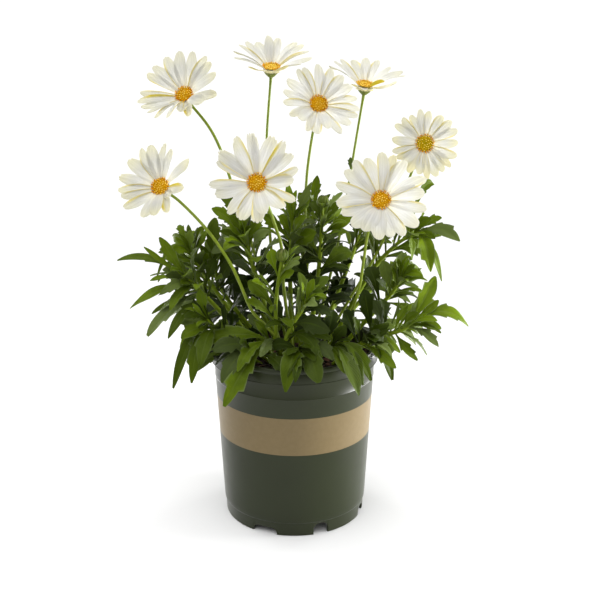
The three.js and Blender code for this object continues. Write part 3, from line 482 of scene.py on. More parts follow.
def rings(shape, loops, tone, uv=(0, 0)):
    """A skin through rings that turn right-handed round the way they go, with flat ends."""
    loops = np.asarray(loops, float)
    count, sides = loops.shape[:2]
    faces = []
    for r in range(count - 1):
        for s in range(sides):
            n = (s + 1) % sides
            faces.append((r * sides + s, r * sides + n, (r + 1) * sides + n, (r + 1) * sides + s))
    faces.append(tuple(range(sides - 1, -1, -1)))
    faces.append(tuple((count - 1) * sides + s for s in range(sides)))
    shape.add(loops.reshape(-1, 3), faces, uv, tone)


def tube(shape, curve, radii, sides, tone, rooted=False):
    """A stem along a curve, with an even number of sides that stand in and out as fine ribs."""
    count = len(radii)
    points = [curve.at(t) for t in np.linspace(0, 1, count)]
    angle = np.arange(sides) * 2 * math.pi / sides
    ribs = 1 + 0.05 * np.where(np.arange(sides) % 2, 1, -1)
    loops, uvs, side = [], [], None
    for i in range(count):
        way = unit(points[min(i + 1, count - 1)] - points[max(i - 1, 0)])
        side = unit(np.cross(way, [0.3, 1, 0.2])) if side is None else unit(side - way * (side @ way))
        radius = radii[i] * ribs
        loops.append(points[i] + np.outer(radius * np.cos(angle), side)
                     + np.outer(radius * np.sin(angle), np.cross(way, side)))
        uvs += [(s / sides, -1 if rooted else i / (count - 1)) for s in range(sides)]
    rings(shape, loops, tone, uvs)


def lathe(shape, profile, sides, tone):
    """A turned body of (radius, height) points from the axis, up the outside, back to the axis."""
    angle = np.arange(sides) * 2 * math.pi / sides
    loops = [np.column_stack([r * np.cos(angle), r * np.sin(angle), np.full(sides, h)])
             for r, h in profile[1:-1]]
    count = len(loops)
    points = np.vstack([[[0, 0, profile[0][1]]], *loops, [[0, 0, profile[-1][1]]]])
    faces = []
    for s in range(sides):
        n = (s + 1) % sides
        faces.append((0, 1 + n, 1 + s))
        last = 1 + (count - 1) * sides
        faces.append((last + s, last + n, 1 + count * sides))
        for r in range(count - 1):
            a = 1 + r * sides
            faces.append((a + s, a + n, a + sides + n, a + sides + s))
    steps = np.concatenate([[0], np.repeat(np.arange(count) / max(count - 1, 1), sides), [1]])
    around = np.concatenate([[0], np.tile(np.arange(sides) / sides, count), [0]])
    shape.add(points, faces, np.column_stack([around, steps]), tone)


# ---------------------------------------------------------------- materials

class Graph:
    """A node material, built from its shader outwards."""

    def __init__(self, name, **shader):
        self.material = bpy.data.materials.new(name)
        self.material.use_nodes = True
        self.tree = self.material.node_tree
        self.tree.nodes.clear()
        self.out = self.tree.nodes.new("ShaderNodeOutputMaterial")
        self.shader = self.tree.nodes.new("ShaderNodeBsdfPrincipled")
        self.wire(self.shader.outputs[0], self.out.inputs["Surface"])
        self.give(self.shader, shader)

    def wire(self, source, target):
        self.tree.links.new(source, target)

    def node(self, kind, settings=None, **inputs):
        made = self.tree.nodes.new("ShaderNode" + kind)
        for key, value in (settings or {}).items():
            setattr(made, key, value)
        self.give(made, inputs)
        return made

    def give(self, node, inputs):
        """Feeds inputs by name, with _ for a space."""
        for key, value in inputs.items():
            self.feed(node.inputs[key.replace("_", " ")], value)

    def set(self, **inputs):
        """Feeds the shader itself."""
        self.give(self.shader, inputs)

    def feed(self, socket, value):
        if isinstance(value, bpy.types.NodeSocket):
            self.wire(value, socket)
        elif socket.type == "RGBA" and len(value) == 3:
            socket.default_value = (*value, 1)
        else:
            socket.default_value = value

    def math(self, operation, *values):
        made = self.node("Math", {"operation": operation})
        for socket, value in zip(made.inputs, values):
            self.feed(socket, value)
        return made.outputs[0]

    def mix(self, share, a, b):
        made = self.node("Mix", {"data_type": "RGBA"})
        for socket, value in ((0, share), (6, a), (7, b)):
            self.feed(made.inputs[socket], value)
        return made.outputs[2]

    def between(self, value, low, high, to_low=0.0, to_high=1.0):
        made = self.node("MapRange", {"interpolation_type": "SMOOTHSTEP"}, Value=value)
        for key, number in (("From Min", low), ("From Max", high), ("To Min", to_low), ("To Max", to_high)):
            made.inputs[key].default_value = number
        return made.outputs[0]

    def noise(self, scale, detail=2.0, stretch=None):
        where = self.node("TexCoord").outputs["Object"]
        if stretch:
            where = self.node("Mapping", Vector=where, Scale=stretch).outputs[0]
        return self.node("TexNoise", Vector=where, Scale=scale, Detail=detail).outputs["Fac"]

    def tone(self):
        stored = self.node("Attribute", {"attribute_name": "tone"})
        return self.node("SeparateColor", Color=stored.outputs["Color"]).outputs

    def place(self):
        stored = self.node("UVMap", {"uv_map": "place"})
        return self.node("SeparateXYZ", Vector=stored.outputs[0]).outputs

    def bump(self, height, strength, distance):
        made = self.node("Bump", Height=height, Strength=strength, Distance=distance)
        self.set(Normal=made.outputs[0])

    def glow_through(self, colour, share):
        """Lets some light through a thin leaf or petal."""
        through = self.node("BsdfTranslucent", Color=colour)
        both = self.node("MixShader")
        both.inputs[0].default_value = share
        self.wire(self.shader.outputs[0], both.inputs[1])
        self.wire(through.outputs[0], both.inputs[2])
        self.wire(both.outputs[0], self.out.inputs["Surface"])


def off_middle(g, u):
    """How far a point lies from the line down the middle, up to 0.5 at the margin."""
    return g.math("ABSOLUTE", g.math("SUBTRACT", u, 0.5))


def leaf_material():
    """Reads how light, how grey-green and how young a leaf is from its tone; the grey-green is the paler
    underside and, on some upper faces, a painted sheen.
    """
    g = Graph("leaf", Specular_IOR_Level=0.08)
    tint, sage_and_sheen, young = g.tone()[:3]
    u, v = g.place()[:2]

    def shaded(amount, colour, dark, light):
        """Mixes in a colour that is darker on the dark leaves."""
        return g.mix(amount, colour, g.mix(tint, dark, light))

    patch = g.noise(90, 3)
    colour = g.mix(tint, (0.009, 0.018, 0.0001), (0.15, 0.225, 0.0062))
    colour = shaded(g.between(patch, 0.4, 0.7, 0, 0.5), colour, (0.02, 0.036, 0.0003), (0.06, 0.1, 0.001))
    # Grey-green: the paler underside, and a painted sheen on some upper faces
    colour = shaded(g.between(sage_and_sheen, 0.7, 0.95, 0, 0.7), colour, (0.024, 0.036, 0.007), (0.15, 0.19, 0.07))
    colour = shaded(young, colour, (0.06, 0.1, 0.002), (0.16, 0.25, 0.005))
    off_rib = off_middle(g, u)
    rib = g.math("MULTIPLY", g.between(off_rib, 0.02, 0.07, 1, 0), g.between(v, 0.4, 1.0, 0.7, 0.15))
    colour = shaded(rib, colour, (0.04, 0.065, 0.004), (0.17, 0.23, 0.04))
    margin = g.between(off_rib, 0.42, 0.5, 0, 0.6)
    colour = shaded(margin, colour, (0.04, 0.055, 0.015), (0.22, 0.27, 0.12))
    stalk = g.between(v, 0.02, 0.3, 0.6, 0)
    colour = shaded(stalk, colour, (0.05, 0.075, 0.003), (0.17, 0.24, 0.014))
    shoot = g.between(v, -0.6, -0.4, 1, 0)
    colour = g.mix(shoot, colour, (0.16, 0.225, 0.012))
    g.set(Base_Color=colour)
    g.set(Roughness=g.between(patch, 0.3, 0.7, 0.36, 0.5))
    slanted = g.node("CombineXYZ", X=0.0, Y=g.math("SUBTRACT", v, g.math("MULTIPLY", off_rib, 0.5)))
    veins = g.node("TexWave", {"wave_type": "BANDS", "bands_direction": "Y"}, Scale=5.0, Distortion=1.5,
                   Vector=slanted.outputs[0])
    height = g.math("ADD", g.math("MULTIPLY", veins.outputs["Fac"], 0.5), g.noise(900, 2))
    g.bump(height, 0.4, 0.0004)
    g.glow_through(shaded(0.5, colour, (0.03, 0.055, 0.0003), (0.17, 0.28, 0.002)), 0.12)
    return g.material


def stem_material():
    """Reads how pale a stem is from its tone."""
    g = Graph("stem", Roughness=0.42, Specular_IOR_Level=0.25)
    tint = g.tone()[0]
    streak = g.noise(300, 2, (1, 1, 0.08))
    colour = g.mix(g.between(streak, 0.3, 0.7), (0.15, 0.21, 0.01), (0.21, 0.27, 0.018))
    colour = g.mix(tint, (0.05, 0.085, 0.006), colour)
    g.set(Base_Color=colour)
    g.bump(g.noise(1200, 2, (1, 1, 0.2)), 0.3, 0.0002)
    return g.material


def petal_material():
    """Reads how creamy, how shaded and how yellow a petal is from its tone."""
    g = Graph("petal", Roughness=0.55, Specular_IOR_Level=0.2)
    cream, shade, yellow = g.tone()[:3]
    u, v = g.place()[:2]
    colour = g.mix(shade, (0.835, 0.833, 0.822), (0.625, 0.622, 0.58))
    # Painted light near the disc, against the shade the petals cast on each other there
    painted_light_near_disc = g.between(v, 0.1, 0.65, 0.75, 0)
    colour = g.mix(painted_light_near_disc, colour, (0.915, 0.91, 0.89))
    at_edge = g.math("MULTIPLY", g.between(off_middle(g, u), 0.3, 0.5), 0.4)
    creamy = g.math("MULTIPLY", g.math("MAXIMUM", g.between(v, 0.5, 1.0), at_edge), cream)
    colour = g.mix(creamy, colour, (0.76, 0.735, 0.54))
    # Fine lengthwise grooves: a bump, with painted shade along them in the colour
    across = g.node("CombineXYZ", X=u, Y=g.math("MULTIPLY", v, 0.15))
    lines = g.node("TexWave", {"wave_type": "BANDS", "bands_direction": "X"}, Scale=1.9, Distortion=0.6,
                   Vector=across.outputs[0]).outputs["Fac"]
    colour = g.mix(g.between(lines, 0.0, 0.6, 0.26, 0), colour, (0.62, 0.62, 0.55))
    colour = g.mix(g.between(v, 0.0, 0.12, 0.15, 0), colour, (0.66, 0.65, 0.52))
    colour = g.mix(yellow, colour, (0.78, 0.65, 0.09))
    g.set(Base_Color=colour)
    g.bump(g.math("ADD", lines, g.math("MULTIPLY", g.noise(700, 2), 0.4)), 0.15, 0.0003)
    through = g.mix(0.4, colour, (0.845, 0.845, 0.835))
    g.glow_through(g.mix(g.between(yellow, 0.92, 1), through, (0.8, 0.72, 0.09)), 0.52)
    return g.material


def floret_material(name, centre, deepest):
    """Reads how far out, how lit and how deep between the florets a point lies from its tone; deep points
    take a deeper orange that is partly the florets' own colour and partly painted shade.
    """
    g = Graph(name, Roughness=0.8, Specular_IOR_Level=0.0)
    outer, lit, deep = g.tone()[:3]
    colour = g.mix(g.between(outer, 0.6, 0.95), (0.75, 0.43, 0.016), (0.74, 0.29, 0.003))
    colour = g.mix(g.between(outer, 0.15, 0.6, 1, 0), colour, centre)
    colour = g.mix(lit, colour, (0.9, 0.66, 0.11))
    # Deeper orange at the florets' feet and between them: partly their own colour, partly painted shade
    colour = g.mix(deep, colour, deepest)
    g.set(Base_Color=colour)
    g.bump(g.noise(1500, 2), 0.4, 0.0003)
    return g.material


def bract_material():
    """Reads how deeply green a bract is from its tone."""
    g = Graph("bract", Roughness=0.55, Specular_IOR_Level=0.12)
    tint = g.tone()[0]
    u, v = g.place()[:2]
    colour = g.mix(tint, (0.15, 0.18, 0.03), (0.035, 0.07, 0.0002))
    margin = g.between(off_middle(g, u), 0.32, 0.5, 0, 0.4)
    colour = g.mix(margin, colour, g.mix(tint, (0.16, 0.2, 0.06), (0.06, 0.11, 0.0005)))
    ends = g.mix(g.between(tint, 0.3, 0.6), (0.42, 0.4, 0.2), (0.025, 0.04, 0.002))
    colour = g.mix(g.between(v, 0.6, 1.0, 0, 0.6), colour, ends)
    g.set(Base_Color=colour)
    g.bump(g.noise(900, 3), 0.35, 0.0003)
    return g.material


def pot_material():
    """Dark olive plastic with a tan band between two heights."""
    g = Graph("pot_plastic", Specular_IOR_Level=0.28, Sheen_Weight=0.2, Sheen_Roughness=0.25)
    height = g.node("SeparateXYZ", Vector=g.node("TexCoord").outputs["Object"]).outputs["Z"]
    blur = 1e-4
    in_band = g.math("MULTIPLY", g.between(height, BAND_LOW * MM - blur, BAND_LOW * MM + blur),
                     g.between(height, BAND_HIGH * MM - blur, BAND_HIGH * MM + blur, 1, 0))
    cloud = g.between(g.noise(18, 3), 0.3, 0.7)
    plastic = g.mix(cloud, (0.015, 0.0195, 0.0045), (0.017, 0.0225, 0.0055))
    band = g.mix(g.between(g.noise(260, 3), 0.3, 0.7), (0.165, 0.12, 0.052), (0.175, 0.127, 0.057))
    g.set(Base_Color=g.mix(in_band, plastic, band))
    satin = g.between(g.noise(60, 3), 0.3, 0.7, 0.34, 0.4)
    g.set(Roughness=g.math("ADD", satin, g.math("MULTIPLY", in_band, 0.08)))
    return g.material


def soil_material():
    """Reads how light and how reddish a chip is from its tone."""
    g = Graph("growing_mix", Roughness=0.92, Specular_IOR_Level=0.2)
    tint, warm = g.tone()[:2]
    grain = g.noise(420, 4)
    colour = g.mix(tint, (0.01, 0.0075, 0.006), (0.042, 0.026, 0.017))
    colour = g.mix(warm, colour, (0.115, 0.05, 0.027))
    colour = g.mix(g.between(grain, 0.35, 0.7, 0, 0.6), colour, (0.02, 0.013, 0.009))
    g.set(Base_Color=colour)
    g.bump(grain, 0.8, 0.0012)
    return g.material


# ---------------------------------------------------------------- pot and soil

def wall_radius(height):
    return lerp(WALL_FOOT_RADIUS, WALL_TOP_RADIUS, height / POT_HEIGHT)


def half_notch(width):
    """Half of a notch's width, in degrees of the foot."""
    return math.degrees(width / 2 / FOOT_RADIUS)


def notch_height(angle):
    """How high the foot's lower edge stands at that angle, in degrees from the front."""
    for middle, width, height in NOTCHES:
        half = half_notch(width)
        for turn in (middle, middle + 180):
            off = abs((angle - turn + 180) % 360 - 180)
            if off < half:
                corner = min(NOTCH_CORNER, height * 0.9)
                inward = min((half - off) / half * width / 2, corner)
                return height - corner + math.sqrt(corner ** 2 - (corner - inward) ** 2)
    return 0.0


def ring_angles():
    """Degrees from the front: every second one, and more at the corners of the notches."""
    steps = (-0.05, 0.05, 0.3, 0.7, 1.2, 1.8, 2.6, 3.6, 4.8)
    corners = [(middle + turn + side * (half_notch(width) - step)) % 360
               for middle, width, _ in NOTCHES for turn in (0, 180) for side in (-1, 1) for step in steps]
    return sorted({round(a, 3) for a in [*np.arange(0, 360, 2.0), *corners]})


def pot_profile():
    """(radius, height) from the floor's underside out, up the wall, over the rim and down inside."""
    foot_inside, inside = FOOT_RADIUS - FOOT_WALL, WALL_TOP_RADIUS - WALL
    step, rim = STEP_HEIGHT, POT_HEIGHT - RIM_DEPTH
    notched = [(foot_inside, 0.6), (foot_inside + 0.4, 0), (FOOT_RADIUS - 1.2, 0), (FOOT_RADIUS - 0.4, 0.5),
               (FOOT_RADIUS, 2)]
    wall = [
        (FOOT_RADIUS + 0.4, step - 1.6), (FOOT_RADIUS + 0.6, step - 0.9),
        (wall_radius(step) - 0.3, step - 0.5), (wall_radius(step), step + 0.3),
        *((wall_radius(h), h) for h in (19, 60, 100, WALL_BEAD - 0.7)),
        (wall_radius(WALL_BEAD) + 0.35, WALL_BEAD), (wall_radius(WALL_BEAD + 0.7), WALL_BEAD + 0.7),
        (wall_radius(rim - 1), rim - 1), (wall_radius(rim - 0.4) + 0.2, rim - 0.4),
    ]
    lip = [
        (RIM_RADIUS - 0.5, rim + 0.1), (RIM_RADIUS + 0.4, rim + 0.4), (RIM_RADIUS + 0.4, rim + 0.9),
        (RIM_RADIUS, rim + 1.2), *((RIM_RADIUS + out, POT_HEIGHT - down) for out, down in (
            (0, 5.2), (-0.45, 4.6), (-0.4, 3.8), (0.25, 3), (0.25, 1), (-0.3, 0.2), (-1, 0))),
    ]
    within = [
        (inside + 0.7, POT_HEIGHT), (inside + 0.1, POT_HEIGHT - 0.6), (inside, POT_HEIGHT - 1.6),
        (wall_radius(90) - WALL, 90), (wall_radius(16) - WALL, 16),
        (wall_radius(FLOOR_TOP) - WALL - 1.5, FLOOR_TOP),
    ]
    return [(foot_inside, FLOOR_TOP - FLOOR_THICKNESS)], notched, wall + lip + within


def lug(shape, turn):
    """A grip that stands out of the rim, with a lip along its edge."""
    low, root = POT_HEIGHT - 3.4, RIM_RADIUS - 1.4
    loops = []
    for step in np.linspace(-1, 1, 25):
        out = level(math.radians(turn + step * LUG_HALF_ANGLE))
        reach = lerp(RIM_RADIUS - 1, LUG_RADIUS, (1 - abs(step) ** 5) ** 0.6)
        section = [(root, low), (reach - 2, low), (reach - 1.2, low - 1.6), (reach - 0.3, low - 1.6),
                   (reach, low - 1), (reach, low + 1.8), (reach - 1, low + 2.8), (root, low + 3)]
        loops.append([out * r + UP * h for r, h in section])
    rings(shape, loops, (0.5, 0, 0))


def make_pot(material):
    shape = Shape()
    angles = ring_angles()
    lifts = np.array([notch_height(a) for a in angles])
    turns = np.radians(np.array(angles) - 90)
    under, notched, above = pot_profile()
    loops = []
    for part, heights in ((under, lambda h: h), (notched, lambda h: np.maximum(h, lifts + h * 0.6)),
                          (above, lambda h: h)):
        loops += [np.column_stack(np.broadcast_arrays(r * np.cos(turns), r * np.sin(turns), heights(h)))
                  for r, h in part]
    rings(shape, loops, (0.5, 0, 0))
    for turn in (LUG_TURN, LUG_TURN + 180):
        lug(shape, turn)
    shape.piece("nursery_pot", material, "pot", sharp=38)


def uneven_surface(shape, rng):
    """Lifts and lowers the top of the growing mix, and gives each point its own tint."""
    points = shape.points[0]
    on_top = points[:, 2] > SOIL_TOP - 1.4
    bumps = np.zeros(on_top.sum())
    for _ in range(60):
        way = rng.normal(size=2) * rng.uniform(0.05, 0.9)
        bumps += np.sin(points[on_top, :2] @ way + rng.uniform(0, 6.3)) * 0.16
    points[on_top, 2] += np.clip(bumps, -1.6, 1.6)
    shape.tones[0] = np.outer(rng.uniform(0, 0.5, len(points)), [1, 0, 0])


def bark_chip(shape, rng, reach):
    """A chip of bark that lies on the growing mix, at most that far from its middle."""
    spot, angle = math.sqrt(rng.uniform(0, 1)) * reach, rng.uniform(0, 2 * math.pi)
    length, width, thick = rng.uniform(3, 10), rng.uniform(1.6, 4), rng.uniform(0.8, 2)
    way = unit([math.cos(angle * 7), math.sin(angle * 7), rng.uniform(-0.4, 0.4)])
    side = unit(np.cross(way, UP) + rng.normal(size=3) * 0.25)
    over = np.cross(way, side)
    middle = level(angle) * spot + UP * (SOIL_TOP - 1 + rng.uniform(0, 1.8))
    loops = []
    for along, share in ((-1, 0.45), (-0.4, 1), (0.35, 0.9), (1, 0.4)):
        bend = rng.uniform(-0.2, 0.2)
        centre = middle + way * along * length / 2
        loops.append([centre + side * (x * share + bend) * width / 2 + over * y * share * thick / 2
                      for x, y in ((-0.7, 1), (0.8, 0.8), (1, -0.3), (0.2, -1), (-1, -0.6))])
    warm = rng.uniform(0, 1) ** 2
    rings(shape, loops, (rng.uniform(0, 1), warm, 0))


def make_soil(material):
    rng = np.random.default_rng(5)
    shape = Shape()
    radius = wall_radius(SOIL_TOP) - WALL - 0.4
    foot, top = FLOOR_TOP + 0.3, SOIL_TOP - 1
    lathe(shape, [(0, foot), (wall_radius(16) - WALL - 0.4, foot), (radius, top - 0.5),
                  *((radius * (1 - k / 34), top) for k in range(34)), (0, top)], 96, (0, 0, 0))
    uneven_surface(shape, rng)
    for _ in range(CHIPS):
        bark_chip(shape, rng, radius - 4)
    shape.piece("growing_mix", material, "soil", sharp=35)


# ---------------------------------------------------------------- leaves

# What a leaf is made from: where it sits along its shoot, its two ends, width and arch, the way the
# shoot grows there, and whether its tip was listed
Plan = namedtuple("Plan", "along base tip width lift growth placed")


def leaf_outline(rng, width, length):
    """Along a leaf: how full it is, its half width on each side with coarse teeth, and how far the
    teeth lean ahead."""
    slim = width / length < 0.2
    t = np.linspace(0, 1, LEAF_ROWS)
    t = t * (1.16 - 0.16 * t)
    peak = rng.uniform(0.6, 0.76)
    stalk = 0.3 if slim else 0.17
    share = stalk + (1 - stalk) * smooth(0.1, peak, t) ** 1.25
    late = np.clip((t - peak) / (1.02 - peak), 0, 1)
    share = share * np.clip(1 - late ** rng.uniform(1.7, 2.3), 0.02, 1) ** 0.88
    edges = {side: width / 2 * share for side in (-1, 1)}
    pushes = {side: np.zeros(LEAF_ROWS) for side in (-1, 1)}
    for side in (-1, 1):
        wanted = int(rng.integers(0, 2)) if slim else int(rng.integers(1, 4))
        row = int(rng.integers(8, 11))
        for _ in range(wanted):
            if row > LEAF_ROWS - 5:
                break
            size = width * rng.uniform(0.08, 0.21)
            for step, part in ((-2, 0.12), (-1, 0.45), (0, 1.0), (1, -0.3), (2, -0.1)):
                edges[side][row + step] += size * part
            pushes[side][row] = length * 0.028
            pushes[side][row + 1] = -length * 0.008
            row += int(rng.integers(3, 5))
    return t, share, edges, pushes


def leaf(shape, rng, plan, young, tint):
    """One leaf: a narrow stalk that widens into a toothed blade, folded along a sunken midrib."""
    base, tip, width, lift = np.array(plan.base, float), np.array(plan.tip, float), plan.width, plan.lift
    length = np.linalg.norm(tip - base)
    middle = (base + tip) / 2 + UP * 2 * lift
    flat = unit(np.cross(lerp(plan.growth, LIGHT, LEAF_TURN), tip - base))
    t, share, edges, pushes = leaf_outline(rng, width, length)
    loose = 0.4 if plan.placed else 1.0
    twist, start_twist = rng.normal() * 0.4 * loose, rng.normal() * 0.4 * loose
    fold = rng.uniform(0.1, 0.45)
    wave, phase, beat = rng.uniform(0.02, 0.08), rng.uniform(0, 6.3), rng.uniform(1.2, 2.4)
    curl = rng.uniform(-0.05, 0.28) * loose
    sway = rng.normal() * 0.045 * loose
    grid = np.zeros((LEAF_ROWS, len(LEAF_COLUMNS), 3))
    normals = np.zeros_like(grid)
    for r, a in enumerate(t):
        way = unit((middle - base) * (1 - a) + (tip - middle) * a)
        across = spun(unit(flat - way * (flat @ way)), way, start_twist + twist * a)
        over = np.cross(way, across)
        point = arched(base, tip, lift, a) - over * curl * length * max(0, a - 0.4) ** 2 * 2
        point = point + across * sway * length * math.sin(math.pi * a)
        bend = fold * (1 - 0.4 * a)
        for c, s in enumerate(LEAF_COLUMNS):
            side = -1 if s < 0 else 1
            x = s * (edges[side][r] if abs(s) == 1 else width / 2 * share[r])
            rise = bend * abs(x) + wave * width * s * s * math.sin(beat * 2 * math.pi * a + phase + s)
            if s == 0:
                rise -= 0.02 * width * share[r] + 0.1
            ahead = pushes[side][r] * (abs(s) == 1) + 0.05 * length * (abs(s) - 0.5) * share[r] * (0.5 - a)
            grid[r, c] = point + across * x + over * rise + way * ahead
            normals[r, c] = unit(over - across * bend * np.sign(s))
    stalky = np.clip(1.25 - t * 2.2, 0, 1)[:, None, None]
    # Tone: how light, how grey-green and how young; a random grey-green on the upper face is a painted sheen,
    # the underside is a paler grey-green
    blade(shape, grid, normals, 0.5 + 1.1 * stalky, LEAF_COLUMNS, t, (tint, rng.random(), young),
          under=(lerp(tint, 1, 0.15), 0.9, young * 0.7))


def reached(base, growth, size, opening, turn):
    """The tip of a leaf that opens that far from its shoot, turned that far round it."""
    outward = spun(beside(growth), growth, turn)
    return base + growth * size * math.cos(opening) + outward * size * math.sin(opening)


def free_leaves(curve, count, start, longest, random):
    """The leaves that the part's source spreads round a shoot by its rule of growth."""
    for index in range(count):
        share = (index + 0.5) / count
        along = lerp(start, 1, share)
        growth = curve.along(along)
        turn = index * GOLDEN_ANGLE + next(random) * math.pi
        opening = lerp(LOW_LEAF_OPENING, TOP_LEAF_OPENING, share) + (next(random) - 0.5) * OPENING_SPREAD
        size = lerp(longest, longest * 0.55, share) * (0.85 + 0.3 * next(random))
        tip = reached(curve.at(along), growth, size, opening, turn)
        tip[2] -= LEAF_DROOP * size * math.sin(opening)
        yield along, tip, size * LEAF_SLIMNESS, size * LEAF_ARCH


def cad_leaves(shoot, curve, random):
    """The leaves that the CAD node has, each at the swing it was given there."""
    name, _, placed, free = shoot
    mesh = frame["nodes"]["shoot_" + name].data
    corners = np.zeros(len(mesh.vertices) * 3, np.float32)
    mesh.vertices.foreach_get("co", corners)
    corners = corners.reshape(-1, 3) / MM
    found = []
    for number, (along, tip, width, lift) in enumerate([*placed, *free_leaves(curve, *free, random)]):
        base, growth = curve.at(along), curve.along(along)
        straight = np.array(tip, float) - base
        for tries, swing in enumerate(SWINGS):
            swung = base + spun(straight, growth, math.radians(swing)) * (1 - SWING_SHRINK * tries)
            if np.abs(corners - swung).max(1).min() < SAME_POINT:
                found.append(Plan(along, base, swung, width, lift, growth, number < len(placed)))
                break
    return found


def samples(base, tip, lift):
    """Points along the outer half of a leaf."""
    return arched(base, tip, lift, np.array([0.45, 0.65, 0.85, 1.0])[:, None])


def box_around(name):
    """The box of a shoot's node, with some slack."""
    low, high = (np.array(corner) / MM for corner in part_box("shoot_" + name))
    return low - BOX_SLACK, high + BOX_SLACK


def is_in(points, box):
    return (points >= box[0]).all() and (points <= box[1]).all()


def is_clear(points, bud):
    """Whether a leaf there keeps off the pot, its bare front and right lug, and the front bud."""
    x, y, z = points[-1]
    low_over_pot = math.hypot(x, y) < RIM_RADIUS + OVER_RIM and z < POT_HEIGHT + 2
    before_pot = abs(x) < RIM_RADIUS + BEFORE_POT and y < 0 and points[:, 2].min() < POT_HEIGHT - 2
    off = points - bud
    before_bud = ((np.abs(off[:, [0, 2]]) < BUD_ROOM).all(1) & (off[:, 1] < 0)).any()
    at_lug = np.sqrt(((points - LUG_MIDDLE) ** 2).sum(1)).min() < LUG_ROOM
    return not (low_over_pot or before_pot or before_bud or at_lug)


def room_for(points, cloud):
    """How far a leaf's points are from the nearest ones of the cloud, on average."""
    return np.sqrt(((cloud[None] - points[:, None]) ** 2).sum(-1)).min(1)[1:].mean()


def extra_leaves(rng, name, curve, cloud, bud):
    """More leaves up a shoot, each where it has most room, and the cloud with their points."""
    box = box_around(name)
    lowest = 0.22 if curve.reach() > LONG_SHOOT else 0.45
    count = OTHER_EXTRAS.get(name, EXTRA_LEAVES)
    made = []
    for number in range(count):
        share = (number + 0.5) / count
        along = lerp(lowest, 1.0, share)
        base, growth = curve.at(along), curve.along(along)
        best = None
        for _ in range(TRIES):
            size = lerp(*EXTRA_LENGTHS, share) * rng.uniform(*LENGTH_SPREAD)
            spread = rng.uniform(-EXTRA_OPENING_SPREAD, EXTRA_OPENING_SPREAD)
            opening = math.radians(lerp(*EXTRA_OPENINGS, share) + spread)
            tip = reached(base, growth, size, opening, rng.uniform(0, 2 * math.pi))
            tip[2] -= rng.uniform(0.05, 0.3) * size * math.sin(opening)
            lift = size * rng.uniform(0.05, 0.14)
            mine = samples(base, tip, lift)
            if not (is_in(mine, box) and is_clear(mine, bud)):
                continue
            room = room_for(mine, cloud)
            if best is None or room > best[0]:
                best = (room, tip, size, lift, mine)
        if best:
            _, tip, size, lift, mine = best
            cloud = np.vstack([cloud, mine])
            width = size * rng.uniform(*EXTRA_SLIMNESS)
            made.append(Plan(along, base, tip, width, lift, growth, False))
    return made, cloud


def tuft_leaves(rng, name, curve):
    """Small young leaves at the tip of a shoot that carries no bud."""
    box = box_around(name)
    made = []
    for number in range(0 if "front_low" in name else TUFT_LEAVES):
        along = rng.uniform(0.93, 1.0)
        base, growth = curve.at(along), curve.along(along)
        size, opening = rng.uniform(*TUFT_LENGTHS), math.radians(rng.uniform(*TUFT_OPENINGS))
        tip = reached(base, growth, size, opening, number * GOLDEN_ANGLE + rng.uniform(-0.4, 0.4))
        if name not in BUDS and is_in(tip, box):
            width = size * rng.uniform(*TUFT_SLIMNESS)
            made.append(Plan(along, base, tip, width, size * TUFT_ARCH, growth, False))
    return made


def leaf_tones(rng, name, plan):
    """How young and how light a leaf is: painted shade in the middle of the plant, at its back, low in
    the crown and over the front rim, painted light at its edge, on top, on the right and at the upper
    left, and light on the shoot at the front."""
    x, y, z = plan.tip
    # Painted shade: leaves over the front rim and low in the crown come out darker, and those over the rim
    # less yellow-green
    shaded_over_rim = y < -50 and z < 215
    shaded_low_in_crown = z < 225 and abs(x) < 85
    upper_left = x < -75 and z > 250
    young = float(smooth(0.72, 1.0, plan.along) * rng.uniform(0, 0.5)) * (0.3 if plan.placed else 1)
    # Painted shade towards the middle and the back of the plant, painted light towards its edge
    outer = smooth(30, 95, np.linalg.norm(plan.tip - HEART)) * (0.5 if y > 25 else 1)
    tint = rng.uniform(0, 1) ** 0.8 * lerp(0.12, 1.0, outer)
    if plan.placed:
        tint = 0.12 + 0.26 * tint if shaded_over_rim else 0.3 + 0.65 * tint
    elif shaded_low_in_crown:
        tint *= 0.22
    # Painted light: leaves at the upper left come out lighter
    elif upper_left:
        tint = lerp(0.38, 1, tint)
    if shaded_over_rim:
        young *= 0.4
    # Painted shade in the hollow middle of the plant: darker there, with less of the young yellow-green
    inner = smooth(-72, -40, y) * (1 - smooth(60, 95, abs(x))) * (1 - smooth(240, 280, z))
    tint, young = tint * lerp(1, 0.1, inner), young * lerp(1, 0.2, inner)
    # Painted light on the right side of the plant and on top
    tint = lerp(tint, 1, 0.25 * smooth(80, 110, x) + 0.13 * smooth(240, 280, z))
    if name == "front_centre":
        tint = lerp(0.4, 1, tint)
    return young, tint


def make_shoot(rng, name, curve, leaves, material):
    """One stem with its leaves."""
    shape = Shape()
    points = max(10, int(curve.reach() / 5))
    radii = [lerp(SHOOT_RADIUS, SHOOT_TIP_RADIUS, s ** 1.5) for s in np.linspace(0, 1, points)]
    tube(shape, curve, radii, 10, (0.5, 0, 0), rooted=True)
    for plan in leaves:
        leaf(shape, rng, plan, *leaf_tones(rng, name, plan))
    shape.piece("leafy_shoot_" + name, material, "shoot_" + name, sharp=60)


